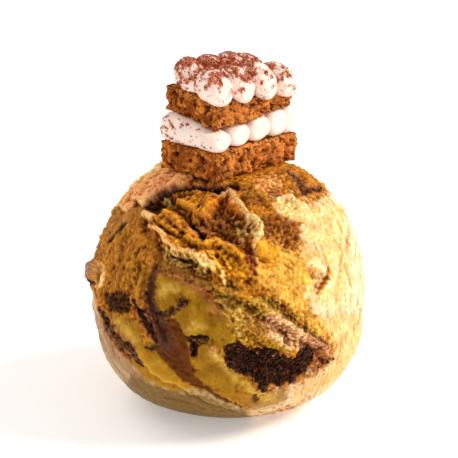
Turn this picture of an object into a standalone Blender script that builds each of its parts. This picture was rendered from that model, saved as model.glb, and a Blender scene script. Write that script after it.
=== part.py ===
"""A scoop of marbled gelato with a small two-layer tiramisu slice on top, in metres, +Z up.

The origin is the middle of the flat spot that the scoop rests on, and the front faces -Y.
The scoop is one solid with its folds, lips, hollows and crumbly relief. The slice is two slabs of
coffee-soaked sponge and two layers of cream piped in ropes, each a solid of its own.
"""

import math

import bmesh
import bpy
import numpy as np
from mathutils import Vector, noise

MM = 0.001

# The scoop
BALL_RADIUS = 32.0 * MM
BALL_HEIGHT = 24.6 * MM  # of the ball's centre over what it rests on
BASE_ROUNDING = 3.3 * MM  # softness of the turn from the ball into its flat base
BASE_DIP = 1.0 * MM  # how far the rounded base runs below the floor before it is cut flat
BASE_FADE = 6.0 * MM  # the relief fades out this far above the floor
BALL_CELLS = 60  # quads along each side of the cube that the ball is blown up from
BALL_TRIANGLES = 8400  # left after the flat and smooth stretches are simplified
CREASE_SHARPNESS = math.radians(50)

# The eye from which the folds are drawn, seen from the ball's centre
EYE_TILT = math.radians(18.0)
EYE_DISTANCE = 292.9 * MM
EYE_RAISE = 13.6 * MM
EYE_SHIFT = -0.2 * MM

# The slice, whose long side runs back to the right
LOWER_LONG = 26.0 * MM
LOWER_SHORT = 17.6 * MM
LOWER_THICK = 6.7 * MM
LOWER_YAW = math.radians(48.0)
LOWER_SPOT = Vector((-0.2 * MM, 0.0, BALL_HEIGHT + 29.4 * MM))  # middle of its underside
UPPER_LONG = 24.2 * MM
UPPER_SHORT = 15.3 * MM
UPPER_YAW = math.radians(45.0)
UPPER_SPOT = LOWER_SPOT + Vector((0.2 * MM, -0.2 * MM, LOWER_THICK))
# Heights of the upper slab's faces over the lower slab at its corners: it sags at the front corner
UPPER_UNDERSIDE = dict(left=6.7 * MM, front=3.7 * MM, right=6.1 * MM, back=7.6 * MM)
UPPER_TOP = dict(left=12.3 * MM, front=10.4 * MM, right=9.2 * MM, back=11.0 * MM)
SEAT_MARGIN = 1.3 * MM  # the level seat on the scoop reaches this far round the slab
SEAT_RAMP = 0.7  # rise of the gelato round the seat, per distance outwards
SPONGE_CELL = 1.65 * MM
WANDER_SIZE, WANDER = 6.0 * MM, 0.7 * MM
CRUMB_SIZE, CRUMB_DEPTH = 2.3 * MM, 1.0 * MM
FACE_DIP = 0.35  # of the crumb's depth, on the two flat faces
WEAR_SIZE, EDGE_WEAR = 1.7 * MM, 0.9 * MM  # crumbled off the slabs' edges
CONTACT_GAP = 0.3 * MM  # left between touching pieces

# The piped cream: ropes across the slice, side by side along its long side
ROPE_SIDES = 12
ROPE_RINGS = 12
FILLING_CENTRES = [-11.3 * MM, -5.2 * MM, 1.2 * MM, 7.1 * MM, 10.8 * MM]
FILLING_REACHES = [3.1 * MM, 3.4 * MM, 3.4 * MM, 3.3 * MM, 2.2 * MM]  # half widths
FILLING_FRONT, FILLING_BACK = -8.6 * MM, 7.7 * MM  # where the ropes start and end
FILLING_END = 1.8 * MM  # length over which a rope's end rounds off
FILLING_SQUEEZE = 0.2  # share of a rope's height that rounds off at each edge of its end
TOPPING_CENTRES = [-9.5 * MM, -3.1 * MM, 3.3 * MM, 9.1 * MM]
TOPPING_REACHES = [3.7 * MM, 3.6 * MM, 3.5 * MM, 3.2 * MM]
TOPPING_HEIGHTS = [6.3 * MM, 6.3 * MM, 6.6 * MM, 5.8 * MM]
TOPPING_LEANS = [1.4 * MM, 0.7 * MM, 0.3 * MM, -0.4 * MM]  # sideways drift of each rope's back end
TOPPING_FRONT, TOPPING_BACK = -9.4 * MM, 6.9 * MM
TOPPING_END = 3.2 * MM
TOPPING_SQUEEZE = 0.42
BEAD_PINCH = 0.2  # how much lower a rope is between its two beads
BEAD_WAIST = 0.1  # how much narrower it is there
BEAD_LENGTH = 0.3  # share of a rope that the waist takes up

# Folds of the scoop. Each is a line as the eye sees it, in millimetres right of and above the
# ball's centre. On its high side the gelato stands proud by `rise`, fading over `back`. At the line
# it drops over `cliff` into a groove of depth `groove`.
FOLDS = {
    "main_lip": dict(
        line=[(-3.2, 4.1), (-5.3, 5.1), (-8.5, 7.4), (-11.7, 9.0), (-15.2, 11.5), (-19.1, 17.5)],
        rise=1.5, back=3.2, cliff=0.9, groove=0.9, high="right",
    ),
    "second_ridge": dict(
        line=[(-14.7, 17.7), (-12.0, 15.2), (-9.7, 12.4), (-7.6, 10.6)],
        rise=0.9, back=1.8, cliff=0.8, groove=0.8, high="right",
    ),
    "third_ridge": dict(
        line=[(-12.9, 20.2), (-9.2, 18.6), (-5.8, 16.1), (-4.8, 14.5)],
        rise=0.9, back=1.8, cliff=0.8, groove=0.8, high="left",
    ),
    "arch_flap": dict(
        line=[(-5.8, 17.0), (-3.2, 20.5), (-0.2, 22.3), (1.8, 20.2), (3.2, 17.3), (6.0, 15.9),
              (7.1, 13.3), (5.5, 10.4), (6.0, 6.9), (6.2, 4.6)],
        rise=1.5, back=2.2, cliff=0.9, groove=0.9, high="left",
    ),
    "cave_floor_lip": dict(
        line=[(-7.1, 10.4), (-3.0, 11.0), (0.9, 9.2), (3.9, 6.4), (6.0, 3.7)],
        rise=1.0, back=2.6, cliff=0.8, groove=0.8, high="right",
    ),
    "top_left_crag": dict(
        line=[(-9.2, 23.5), (-13.6, 22.3), (-16.6, 20.5), (-19.6, 18.4)],
        rise=1.4, back=3.0, cliff=0.9, groove=1.4, high="right",
    ),
    "left_crevice": dict(
        line=[(-24.4, 15.0), (-26.0, 12.0), (-27.8, 9.7)],
        rise=0.6, back=1.5, cliff=0.8, groove=1.0, high="left",
    ),
    "lower_lip": dict(
        line=[(-30.6, -2.8), (-28.3, -8.5), (-24.4, -13.1), (-19.6, -17.3), (-16.1, -19.8),
              (-12.4, -21.9), (-7.8, -23.7), (-3.2, -26.0), (2.3, -27.6)],
        rise=1.0, back=5.0, cliff=0.9, groove=0.3, high="left",
    ),
    "middle_crack": dict(
        line=[(-4.1, 0.7), (-1.2, -0.9), (2.3, -1.8), (7.4, -4.1), (12.7, -7.8), (17.3, -10.6),
              (21.2, -13.3), (23.7, -16.1)],
        rise=0.8, back=2.2, cliff=0.9, groove=0.8, high="left",
    ),
    "right_notch": dict(
        line=[(18.2, 6.0), (21.2, 4.6), (23.9, 2.5), (22.5, 0.2), (20.9, -2.1)],
        rise=0.7, back=1.6, cliff=0.8, groove=0.7, high="left",
    ),
}
GROOVE_WIDTH = 1.1 * MM

# Swellings, and below zero hollows, of the scoop: place as the eye sees it, radius and height in mm
DOMES = {
    "arch_cave": ((-0.9, 14.3), 4.2, -1.9),
    "right_cave": ((11.7, 13.3), 4.2, -1.5),
    "crumb_vein_left": ((5.0, -17.4), 3.8, -0.8),
    "crumb_vein_right": ((12.5, -18.6), 3.8, -0.8),
    "left_knob": ((-31.4, 3.7), 2.6, 1.9),
    "lower_left_bulge": ((-24.0, -19.0), 12.0, 0.6),
    "right_flank": ((31.0, 1.0), 12.0, -1.8),
}
SWELL_SIZE, SWELL_HEIGHT = 15.0 * MM, 0.4 * MM
CRAG_SIZE, CRAG_HEIGHT = 3.6 * MM, 0.75 * MM
CRAG_BIAS = 0.6  # the crags are cut into the ball more than they stand out of it
RAGGED_SIZE, RAGGED_SHIFT = 2.4 * MM, 0.75 * MM
SKIRT_TOP = -13.0 * MM  # below this height from the ball's centre the scoop pressed it smooth
SKIRT_BLEND = 8.0 * MM

# The back of the scoop has folds of the same kind, laid by a rule
BACK_FOLDS = 13
BACK_SEED = 11
BACK_FOLD_POINTS = 6
BACK_FOLD_STEP = 0.17  # of a turn in radians, between the points of one fold


def add_material(name, colour, roughness):
    """A Principled material with one base colour."""
    material = bpy.data.materials.new(name)
    material.use_nodes = True
    shader = material.node_tree.nodes["Principled BSDF"]
    shader.inputs["Base Color"].default_value = (*colour, 1.0)
    shader.inputs["Roughness"].default_value = roughness
    shader.inputs["Metallic"].default_value = 0.0
    return material


def add_object(name, shape, material):
    """Turns a bmesh into an object, shaded smooth up to a crease."""
    bmesh.ops.triangulate(shape, faces=shape.faces[:])
    data = bpy.data.meshes.new(name)
    shape.to_mesh(data)
    shape.free()
    obj = bpy.data.objects.new(name, data)
    bpy.context.scene.collection.objects.link(obj)
    data.materials.append(material)
    data.shade_smooth()
    data.set_sharp_from_angle(angle=CREASE_SHARPNESS)
    return obj


def smooth_step(low, high, value):
    t = np.clip((value - low) / (high - low), 0.0, 1.0)
    return t * t * (3 - 2 * t)


def noise_at(places, size, seed):
    """Gradient noise from about -1 to 1 at each place."""
    offset = Vector((seed * 7.3, seed * 3.1, seed * 5.7))
    return np.array([noise.noise(Vector(place / size) + offset) for place in places])


def smooth_line(points, steps):
    """Points of a Catmull-Rom curve through the given ones."""
    ends = [2 * points[0] - points[1], *points, 2 * points[-1] - points[-2]]
    found = []
    for before, start, end, after in zip(ends, ends[1:], ends[2:], ends[3:]):
        for step in range(steps):
            t = step / steps
            found.append(
                0.5 * (2 * start + (end - before) * t
                       + (2 * before - 5 * start + 4 * end - after) * t ** 2
                       + (3 * start - before - 3 * end + after) * t ** 3)
            )
    return np.array([*found, points[-1]])


def on_ball(right_mm, up_mm):
    """The point of the ball, from its centre, that the eye sees there."""
    right = np.array([1.0, 0.0, 0.0])
    up = np.array([0.0, math.sin(EYE_TILT), math.cos(EYE_TILT)])
    towards = np.array([0.0, -math.cos(EYE_TILT), math.sin(EYE_TILT)])
    eye = right * EYE_SHIFT + up * EYE_RAISE + towards * EYE_DISTANCE
    sight = right * right_mm * MM + up * up_mm * MM - eye
    sight /= np.linalg.norm(sight)
    nearest = -(eye @ sight)
    under_root = BALL_RADIUS ** 2 - eye @ eye + nearest ** 2
    point = eye + sight * (nearest - math.sqrt(max(under_root, 0.0)))
    return point * BALL_RADIUS / np.linalg.norm(point)


def back_fold(rng):
    """One fold of the back: a short curved walk over the ball, rising and falling at a slant."""
    turn = rng.uniform(math.radians(10), math.radians(170))
    lift = rng.uniform(math.radians(-35), math.radians(50))
    slope = rng.uniform(-0.9, -0.2)
    bend = rng.uniform(-0.12, 0.12)
    points = []
    for _ in range(BACK_FOLD_POINTS):
        points.append(BALL_RADIUS * np.array([
            math.cos(lift) * math.cos(turn), math.cos(lift) * math.sin(turn), math.sin(lift)
        ]))
        turn -= BACK_FOLD_STEP
        lift += BACK_FOLD_STEP * slope
        slope += bend
    return dict(points=points, rise=rng.uniform(0.7, 1.3), back=rng.uniform(1.8, 3.4), cliff=0.9,
                groove=rng.uniform(0.4, 0.9), high="left")


def all_folds():
    """Every fold, with its line as points of the ball."""
    folds = [dict(fold, points=[on_ball(*point) for point in fold["line"]])
             for fold in FOLDS.values()]
    rng = np.random.default_rng(BACK_SEED)
    return folds + [back_fold(rng) for _ in range(BACK_FOLDS)]


def side_distance(places, line):
    """Distance of each place from a line on the ball, above zero on the left of its travel."""
    best = np.full(len(places), np.inf)
    signed = np.zeros(len(places))
    for start, end in zip(line, line[1:]):
        run = end - start
        from_start = places - start
        along = np.clip(from_start @ run / (run @ run), 0.0, 1.0)
        gap = np.linalg.norm(from_start - along[:, None] * run, axis=1)
        outward = np.cross(np.broadcast_to(run, places.shape), from_start)
        side = np.where(np.einsum("ij,ij->i", outward, places) >= 0, 1.0, -1.0)
        nearer = gap < best
        signed[nearer] = (side * gap)[nearer]
        best[nearer] = gap[nearer]
    return signed


def end_fade(places, line):
    """One along a fold's line, fading out past its two ends."""
    fade = np.ones(len(places))
    for tip, inner in ((line[0], line[1]), (line[-1], line[-2])):
        outward = (tip - inner) / np.linalg.norm(tip - inner)
        fade *= 1 - smooth_step(-1.5 * MM, 1.5 * MM, (places - tip) @ outward)
    return fade


def fold_relief(places, fold, ragged):
    """Height that one fold adds at each place."""
    line = smooth_line(fold["points"], 4)
    side = 1.0 if fold["high"] == "left" else -1.0
    across = side * side_distance(places, line) + ragged
    cliff = fold["cliff"] * MM
    lip = np.exp(-np.maximum(across, 0.0) / (fold["back"] * MM))
    lip = lip * smooth_step(-cliff, 0.4 * cliff, across)
    groove = np.exp(-(((across + cliff + GROOVE_WIDTH) / GROOVE_WIDTH) ** 2))
    height = (fold["rise"] * lip - fold["groove"] * groove) * MM
    return height * end_fade(places, line)


def dome_relief(places, spot, radius_mm, height_mm):
    """Height that one round swelling or hollow adds at each place."""
    gap = np.linalg.norm(places - on_ball(*spot), axis=1)
    return height_mm * MM * np.exp(-((gap / (radius_mm * MM)) ** 4))


def scoop_relief(places):
    """Height of the gelato over the plain ball at each place on it."""
    ragged = RAGGED_SHIFT * noise_at(places, RAGGED_SIZE, 1)
    rough = smooth_step(SKIRT_TOP, SKIRT_TOP + SKIRT_BLEND, places[:, 2])
    relief = SWELL_HEIGHT * noise_at(places, SWELL_SIZE, 2)
    relief += CRAG_HEIGHT * rough * (noise_at(places, CRAG_SIZE, 3) - CRAG_BIAS)
    for fold in all_folds():
        relief += fold_relief(places, fold, ragged)
    for dome in DOMES.values():
        relief += dome_relief(places, *dome)
    return relief


def base_radius(directions):
    """Radius of the plain ball with its underside turned softly into a flat base."""
    down = np.maximum(-directions[:, 2], 1e-6)
    floor_reach = (BALL_HEIGHT + BASE_DIP) / down
    softened = np.exp(np.minimum(-(floor_reach - BALL_RADIUS) / BASE_ROUNDING, 50.0))
    return BALL_RADIUS - BASE_ROUNDING * np.log1p(softened)


def turned(x, y, yaw):
    """A place in the plane, turned by yaw."""
    return x * math.cos(yaw) - y * math.sin(yaw), x * math.sin(yaw) + y * math.cos(yaw)


def seat_height(points):
    """Height that the gelato may reach: level under the lower slab, rising away from it."""
    x, y = turned(points[:, 0] - LOWER_SPOT.x, points[:, 1] - LOWER_SPOT.y, -LOWER_YAW)
    outside = np.hypot(np.maximum(np.abs(x) - LOWER_LONG / 2, 0.0),
                       np.maximum(np.abs(y) - LOWER_SHORT / 2, 0.0))
    return LOWER_SPOT.z - CONTACT_GAP + SEAT_RAMP * np.maximum(outside - SEAT_MARGIN, 0.0)


def make_scoop(material):
    """The ball of gelato: a cube blown up to a sphere, shaped by its relief, then simplified."""
    shape = bmesh.new()
    bmesh.ops.create_cube(shape, size=2.0)
    bmesh.ops.subdivide_edges(shape, edges=shape.edges[:], cuts=BALL_CELLS - 1, use_grid_fill=True)
    spread = np.tan(np.array([vert.co for vert in shape.verts]) * math.pi / 4)
    directions = spread / np.linalg.norm(spread, axis=1)[:, None]
    places = directions * BALL_RADIUS
    fade = smooth_step(-BALL_HEIGHT, -BALL_HEIGHT + BASE_FADE, places[:, 2])
    radius = base_radius(directions) + scoop_relief(places) * fade
    points = directions * radius[:, None] + np.array([0.0, 0.0, BALL_HEIGHT])
    points[:, 2] = np.clip(points[:, 2], 0.0, seat_height(points))
    for vert, point in zip(shape.verts, points):
        vert.co = point
    obj = add_object("gelato_scoop", shape, material)
    simplify = obj.modifiers.new("simplify", "DECIMATE")
    simplify.ratio = BALL_TRIANGLES / len(obj.data.polygons)
    return obj


def between_corners(heights, x, y):
    """Blend of four corner heights at x and y, each from -1 to 1 across the slab."""
    front = heights["front"] * (1 - x) + heights["right"] * (1 + x)
    back = heights["left"] * (1 - x) + heights["back"] * (1 + x)
    return (front * (1 - y) + back * (1 + y)) / 4


def lower_faces(x, y):
    """Heights of the lower slab's flat faces over its own underside."""
    return 0.0 * x, 0.0 * x + LOWER_THICK


def upper_faces(x, y):
    """Heights of the upper slab's flat faces over the lower slab's top."""
    across, along = x / (UPPER_LONG / 2), y / (UPPER_SHORT / 2)
    return between_corners(UPPER_UNDERSIDE, across, along), between_corners(UPPER_TOP, across, along)


def make_sponge(name, long_side, short_side, faces_at, seed, material):
    """A slab of sponge with ragged sides and pits, whose flat faces only dip inwards."""
    size = np.array([long_side, short_side, LOWER_THICK])
    shape = bmesh.new()
    bmesh.ops.create_cube(shape, size=2.0)
    for axis, length in enumerate(size):
        along = [edge for edge in shape.edges
                 if abs((edge.verts[0].co - edge.verts[1].co).normalized()[axis]) > 0.99]
        cuts = round(length / SPONGE_CELL) - 1
        bmesh.ops.subdivide_edges(shape, edges=along, cuts=cuts, use_grid_fill=True)
    unit = np.array([vert.co for vert in shape.verts])
    outward = np.where(np.abs(unit) > 0.999, np.sign(unit), 0.0)
    points = unit * size / 2
    wander = WANDER * noise_at(points, WANDER_SIZE, seed)
    crumb = CRUMB_DEPTH * noise_at(points, CRUMB_SIZE, seed + 1)
    on_edge = np.abs(outward).sum(axis=1) > 1
    worn = EDGE_WEAR * on_edge * np.abs(noise_at(points, WEAR_SIZE, seed + 2))
    points[:, :2] += outward[:, :2] * (wander + crumb - worn)[:, None]
    under, top = faces_at(points[:, 0], points[:, 1])
    inward = FACE_DIP * np.abs(crumb) + worn
    points[:, 2] = under + (top - under) * (unit[:, 2] + 1) / 2 - outward[:, 2] * inward
    for vert, point in zip(shape.verts, points):
        vert.co = point
    return add_object(name, shape, material)


def tube(rings):
    """A closed tube through rings of points, with a fan over each end."""
    shape = bmesh.new()
    loops = [[shape.verts.new(point) for point in ring] for ring in rings]
    for loop, following in zip(loops, loops[1:]):
        for i, vert in enumerate(loop):
            j = (i + 1) % len(loop)
            shape.faces.new((vert, loop[j], following[j], following[i]))
    for loop in (loops[0], loops[-1]):
        tip = shape.verts.new(sum((vert.co for vert in loop), Vector()) / len(loop))
        for i, vert in enumerate(loop):
            shape.faces.new((vert, loop[(i + 1) % len(loop)], tip))
    bmesh.ops.recalc_face_normals(shape, faces=shape.faces[:])
    return shape


def rope_rings(front, back, end, section_at):
    """Cross sections along a rope with round ends, from section_at(t, along, full, across, rise)."""
    rings = []
    for step in range(ROPE_RINGS):
        t = 0.999 * math.sin(math.pi / 2 * (2 * step / (ROPE_RINGS - 1) - 1))
        along = front + (back - front) * (t + 1) / 2
        from_tip = min(min(along - front, back - along) / end, 1.0)
        full = (1 - (1 - from_tip) ** 2.5) ** (1 / 2.5)
        ring = []
        for side in range(ROPE_SIDES):
            angle = 2 * math.pi * (side + 0.5) / ROPE_SIDES
            across, rise = math.cos(angle), math.sin(angle)
            squareness = 0.72 if rise < 0 else 0.92
            across = math.copysign(abs(across) ** 0.85, across)
            rise = math.copysign(abs(rise) ** squareness, rise)
            ring.append(section_at(t, along, full, across, rise))
        rings.append(ring)
    return rings


def filling_rope(centre, reach):
    """A rope of the filling, squeezed between the level lower slab and the sagging upper one."""

    def section_at(_, along, full, across, rise):
        x = centre + reach * (0.6 + 0.4 * full) * across
        ceiling = upper_faces(*turned(x, along, LOWER_YAW - UPPER_YAW))[0] - CONTACT_GAP
        middle, half_height = (ceiling + CONTACT_GAP) / 2, (ceiling - CONTACT_GAP) / 2
        half_height *= 1 - 2 * FILLING_SQUEEZE * (1 - full)
        return Vector((x, along, middle + half_height * rise))

    return rope_rings(FILLING_FRONT, FILLING_BACK, FILLING_END, section_at)


def topping_rope(centre, reach, height, lean):
    """A rope of the topping: two round beads that flow into each other, with a free top."""

    def section_at(t, along, full, across, rise):
        between = math.exp(-((t / BEAD_LENGTH) ** 2))
        width = reach * (1 - BEAD_WAIST * between) * (0.4 + 0.6 * full)
        x = centre + lean * t + width * across
        foot = upper_faces(x, along)[1] + CONTACT_GAP
        top = height * (1 - BEAD_PINCH * between) * (1 - TOPPING_SQUEEZE * (1 - full))
        return Vector((x, along, foot + top * (rise + 1) / 2))

    return rope_rings(TOPPING_FRONT, TOPPING_BACK, TOPPING_END, section_at)


def make_cream(name, ropes, material):
    """The ropes of one cream layer, joined into one solid."""
    helpers = bpy.data.collections.new(name + "_ropes")
    bpy.context.scene.collection.children.link(helpers)
    first, *others = ropes
    obj = add_object(name, tube(first), material)
    for index, rope in enumerate(others, start=2):
        helper = add_object(f"{name}_rope_{index}", tube(rope), material)
        bpy.context.scene.collection.objects.unlink(helper)
        helpers.objects.link(helper)
    union = obj.modifiers.new("join_ropes", "BOOLEAN")
    union.operation = "UNION"
    union.operand_type = "COLLECTION"
    union.collection = helpers
    graph = bpy.context.evaluated_depsgraph_get()
    joined = bpy.data.meshes.new_from_object(obj.evaluated_get(graph))
    obj.modifiers.clear()
    obj.data = joined
    for helper in list(helpers.objects):
        bpy.data.objects.remove(helper)
    bpy.data.collections.remove(helpers)
    joined.shade_smooth()
    joined.set_sharp_from_angle(angle=CREASE_SHARPNESS)
    return obj


def put(obj, spot, yaw):
    obj.location = spot
    obj.rotation_euler.z = yaw


def main():
    for obj in list(bpy.data.objects):
        bpy.data.objects.remove(obj)
    gelato = add_material("gelato", (0.72, 0.45, 0.13), 0.45)
    sponge = add_material("coffee_sponge", (0.42, 0.17, 0.04), 0.7)
    cream = add_material("mascarpone_cream", (0.92, 0.85, 0.76), 0.4)

    make_scoop(gelato)
    lower = make_sponge("sponge_lower", LOWER_LONG, LOWER_SHORT, lower_faces, 21, sponge)
    put(lower, LOWER_SPOT, LOWER_YAW)
    filling = make_cream("cream_lower", map(filling_rope, FILLING_CENTRES, FILLING_REACHES), cream)
    put(filling, LOWER_SPOT + Vector((0, 0, LOWER_THICK)), LOWER_YAW)
    upper = make_sponge("sponge_upper", UPPER_LONG, UPPER_SHORT, upper_faces, 31, sponge)
    put(upper, UPPER_SPOT, UPPER_YAW)
    ropes = map(topping_rope, TOPPING_CENTRES, TOPPING_REACHES, TOPPING_HEIGHTS, TOPPING_LEANS)
    put(make_cream("cream_upper", ropes, cream), UPPER_SPOT, UPPER_YAW)


main()
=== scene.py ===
"""The looks of a scoop of marbled gelato with a small two-layer tiramisu slice on top.

The big shapes follow the solids. The gelato is drawn again with finer cells, crumbs, pits and
marbling, the sponge with pores, and the cream in one smooth skin. Chocolate crumbs and flakes of
cocoa lie on them.
"""

import math

import bmesh
import bpy
import numpy as np
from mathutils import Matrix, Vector, noise


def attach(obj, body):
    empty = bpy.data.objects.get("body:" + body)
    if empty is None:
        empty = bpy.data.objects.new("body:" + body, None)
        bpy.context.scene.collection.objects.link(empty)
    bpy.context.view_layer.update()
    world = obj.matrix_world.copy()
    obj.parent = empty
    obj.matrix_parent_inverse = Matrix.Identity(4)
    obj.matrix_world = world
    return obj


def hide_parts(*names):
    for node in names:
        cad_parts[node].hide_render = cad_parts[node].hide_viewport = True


MM = 0.001

# The scoop
BALL_RADIUS = 32.0 * MM
BALL_HEIGHT = 24.6 * MM  # of the ball's centre over what it rests on
BASE_ROUNDING = 3.3 * MM
BASE_DIP = 1.0 * MM
BASE_FADE = 6.0 * MM
FINE_CELLS = 128  # quads along each side of the cube that the ball is blown up from
FRONT_DRAW = 0.36  # how strongly the cells crowd towards the front

# The eye from which folds and marbling are drawn, seen from the ball's centre
EYE_TILT = math.radians(18.0)
EYE_DISTANCE = 292.9 * MM
EYE_RAISE = 13.6 * MM
EYE_SHIFT = -0.2 * MM
RIGHT = np.array([1.0, 0.0, 0.0])
UP = np.array([0.0, math.sin(EYE_TILT), math.cos(EYE_TILT)])
TOWARDS = np.array([0.0, -math.cos(EYE_TILT), math.sin(EYE_TILT)])
EYE = RIGHT * EYE_SHIFT + UP * EYE_RAISE + TOWARDS * EYE_DISTANCE
LENS = 100.0
SENSOR = 36.0
VIEW_STEPS = 458.0  # the eye's view is a square of this many steps
VIEW_MIDDLE = 229.0

# The slice
LOWER_LONG = 26.0 * MM
LOWER_SHORT = 17.6 * MM
LOWER_THICK = 6.7 * MM
LOWER_YAW = math.radians(48.0)
LOWER_SPOT = Vector((-0.2 * MM, 0.0, BALL_HEIGHT + 29.4 * MM))
UPPER_LONG = 24.2 * MM
UPPER_SHORT = 15.3 * MM
UPPER_YAW = math.radians(45.0)
UPPER_SPOT = LOWER_SPOT + Vector((0.2 * MM, -0.2 * MM, LOWER_THICK))
UPPER_UNDERSIDE = dict(left=6.7 * MM, front=3.7 * MM, right=6.1 * MM, back=7.6 * MM)
UPPER_TOP = dict(left=12.3 * MM, front=10.4 * MM, right=9.2 * MM, back=11.0 * MM)
SEAT_MARGIN = 1.3 * MM
SEAT_RAMP = 0.7
SEAT_SINK = 0.2 * MM
CREAM_SINK = 0.3 * MM
SPONGE_CELL = 0.2 * MM
WANDER_SIZE, WANDER = 6.0 * MM, 0.7 * MM
CRUMB_SIZE, CRUMB_DEPTH = 2.3 * MM, 1.0 * MM
FACE_DIP = 0.35
WORN_DEPTH, WORN_REACH, WORN_SIZE = 0.75 * MM, 0.7 * MM, 1.5 * MM
CLUMP_SIZE, CLUMP_HEIGHT = 1.8 * MM, 0.8 * MM
CLUMPLET_SIZE, CLUMPLET_HEIGHT = 0.85 * MM, 0.3 * MM
PORE_SIZE, PORE_DEPTH, PORE_SINK = 2.3 * MM, 1.1 * MM, 0.5 * MM
SPONGE_GRAIN_SIZE, SPONGE_GRAIN = 1.0 * MM, 0.35 * MM
SPONGE_SINK = 0.1 * MM
SPONGE_ROUNDS = 30
LOWER_SEED, UPPER_SEED = 21, 31
TONE_SIZE, FLECK_SIZE = 3.2 * MM, 0.8 * MM

# The piped cream
ROPE_SIDES = 48
ROPE_RINGS = 64
CREAM_CELL = 0.2 * MM
FILLING_CENTRES = [-11.3 * MM, -5.2 * MM, 1.2 * MM, 7.1 * MM, 10.8 * MM]
FILLING_REACHES = [3.1 * MM, 3.4 * MM, 3.4 * MM, 3.3 * MM, 2.2 * MM]
FILLING_FRONT, FILLING_BACK = -8.6 * MM, 7.7 * MM
FILLING_END = 2.4 * MM
FILLING_SQUEEZE = 0.26
TOPPING_CENTRES = [-9.5 * MM, -3.1 * MM, 3.3 * MM, 9.1 * MM]
TOPPING_REACHES = [3.7 * MM, 3.6 * MM, 3.5 * MM, 3.2 * MM]
TOPPING_HEIGHTS = [6.8 * MM, 6.8 * MM, 7.1 * MM, 6.3 * MM]
TOPPING_LEANS = [1.4 * MM, 0.7 * MM, 0.3 * MM, -0.4 * MM]
TOPPING_FRONT, TOPPING_BACK = -9.4 * MM, 6.9 * MM
TOPPING_END = 4.2 * MM
TOPPING_SQUEEZE = 0.72
TIP_NARROWING = 0.72
BEAD_PINCH = 0.26
BEAD_WAIST = 0.3
BEAD_LENGTH = 0.2
BEAD_SPLIT = 0.04
BEAD_MIDDLE = 0.45  # of a bead's widest level, as a share of its height
BEAD_DROOP = 0.6 * MM
DROOP_START = -6.0 * MM
END_ROUNDNESS = 2.4
FILLING_SQUARENESS = 0.92
FILLING_TIP = 0.55  # width of a filling rope's tip, as a share of its widest
ROPE_CAP = 0.999  # keeps a rope's last ring from shrinking to a point
CREAM_ROUNDS = 30
# CREAM_CREASE is how strongly painted shade darkens the cream in its creases
CREAM_CREASE, CREAM_STAIN = 0.6, 0.9
# Sizes and heights of the soft unevenness of the cream
CREAM_WAVES = [(4.5 * MM, 0.3 * MM), (1.8 * MM, 0.12 * MM), (0.7 * MM, 0.05 * MM)]

# Things that lie on the rest: how many, how large, how flat, and their two colours
CHOCOLATE_CRUMBS = dict(count=1700, sizes=(0.3 * MM, 1.15 * MM), flatness=0.75,
                        tints=("chocolate", "crumb_light"), seed=5)
TOPPING_COCOA = dict(count=19000, sizes=(0.12 * MM, 0.28 * MM), flatness=0.3,
                     tints=("cocoa", "cocoa_dark_and_shade"), seed=6, yaw=UPPER_YAW)
FILLING_COCOA = dict(count=420, sizes=(0.12 * MM, 0.36 * MM), flatness=0.3,
                     tints=("cocoa", "cocoa_dark_and_shade"), seed=7, yaw=LOWER_YAW)
LEAST_CHOCOLATE = 0.03
STRAY_TOPPING_COCOA, STRAY_FILLING_COCOA = 0.03, 0.0005
COCOA_STRETCH = 1.0
LEAST_ALONG = 0.2  # keeps the draw from growing where the surface stands across the ropes
CRUMB_REACHES = (0.55, 1.3)  # of a crumb's corners, as shares of its size
CRUMB_SHIFT = 0.2 * MM
CRUMB_LIFT = 0.35
CRUMB_SHAPE = np.array([
    (1, 0, 0), (-1, 0, 0), (0, 1, 0), (0, -1, 0), (0, 0, 1), (0, 0, -1)
], float)
CRUMB_FACES = np.array([
    (0, 2, 4), (2, 1, 4), (1, 3, 4), (3, 0, 4), (2, 0, 5), (1, 2, 5), (3, 1, 5), (0, 3, 5)
])

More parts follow.
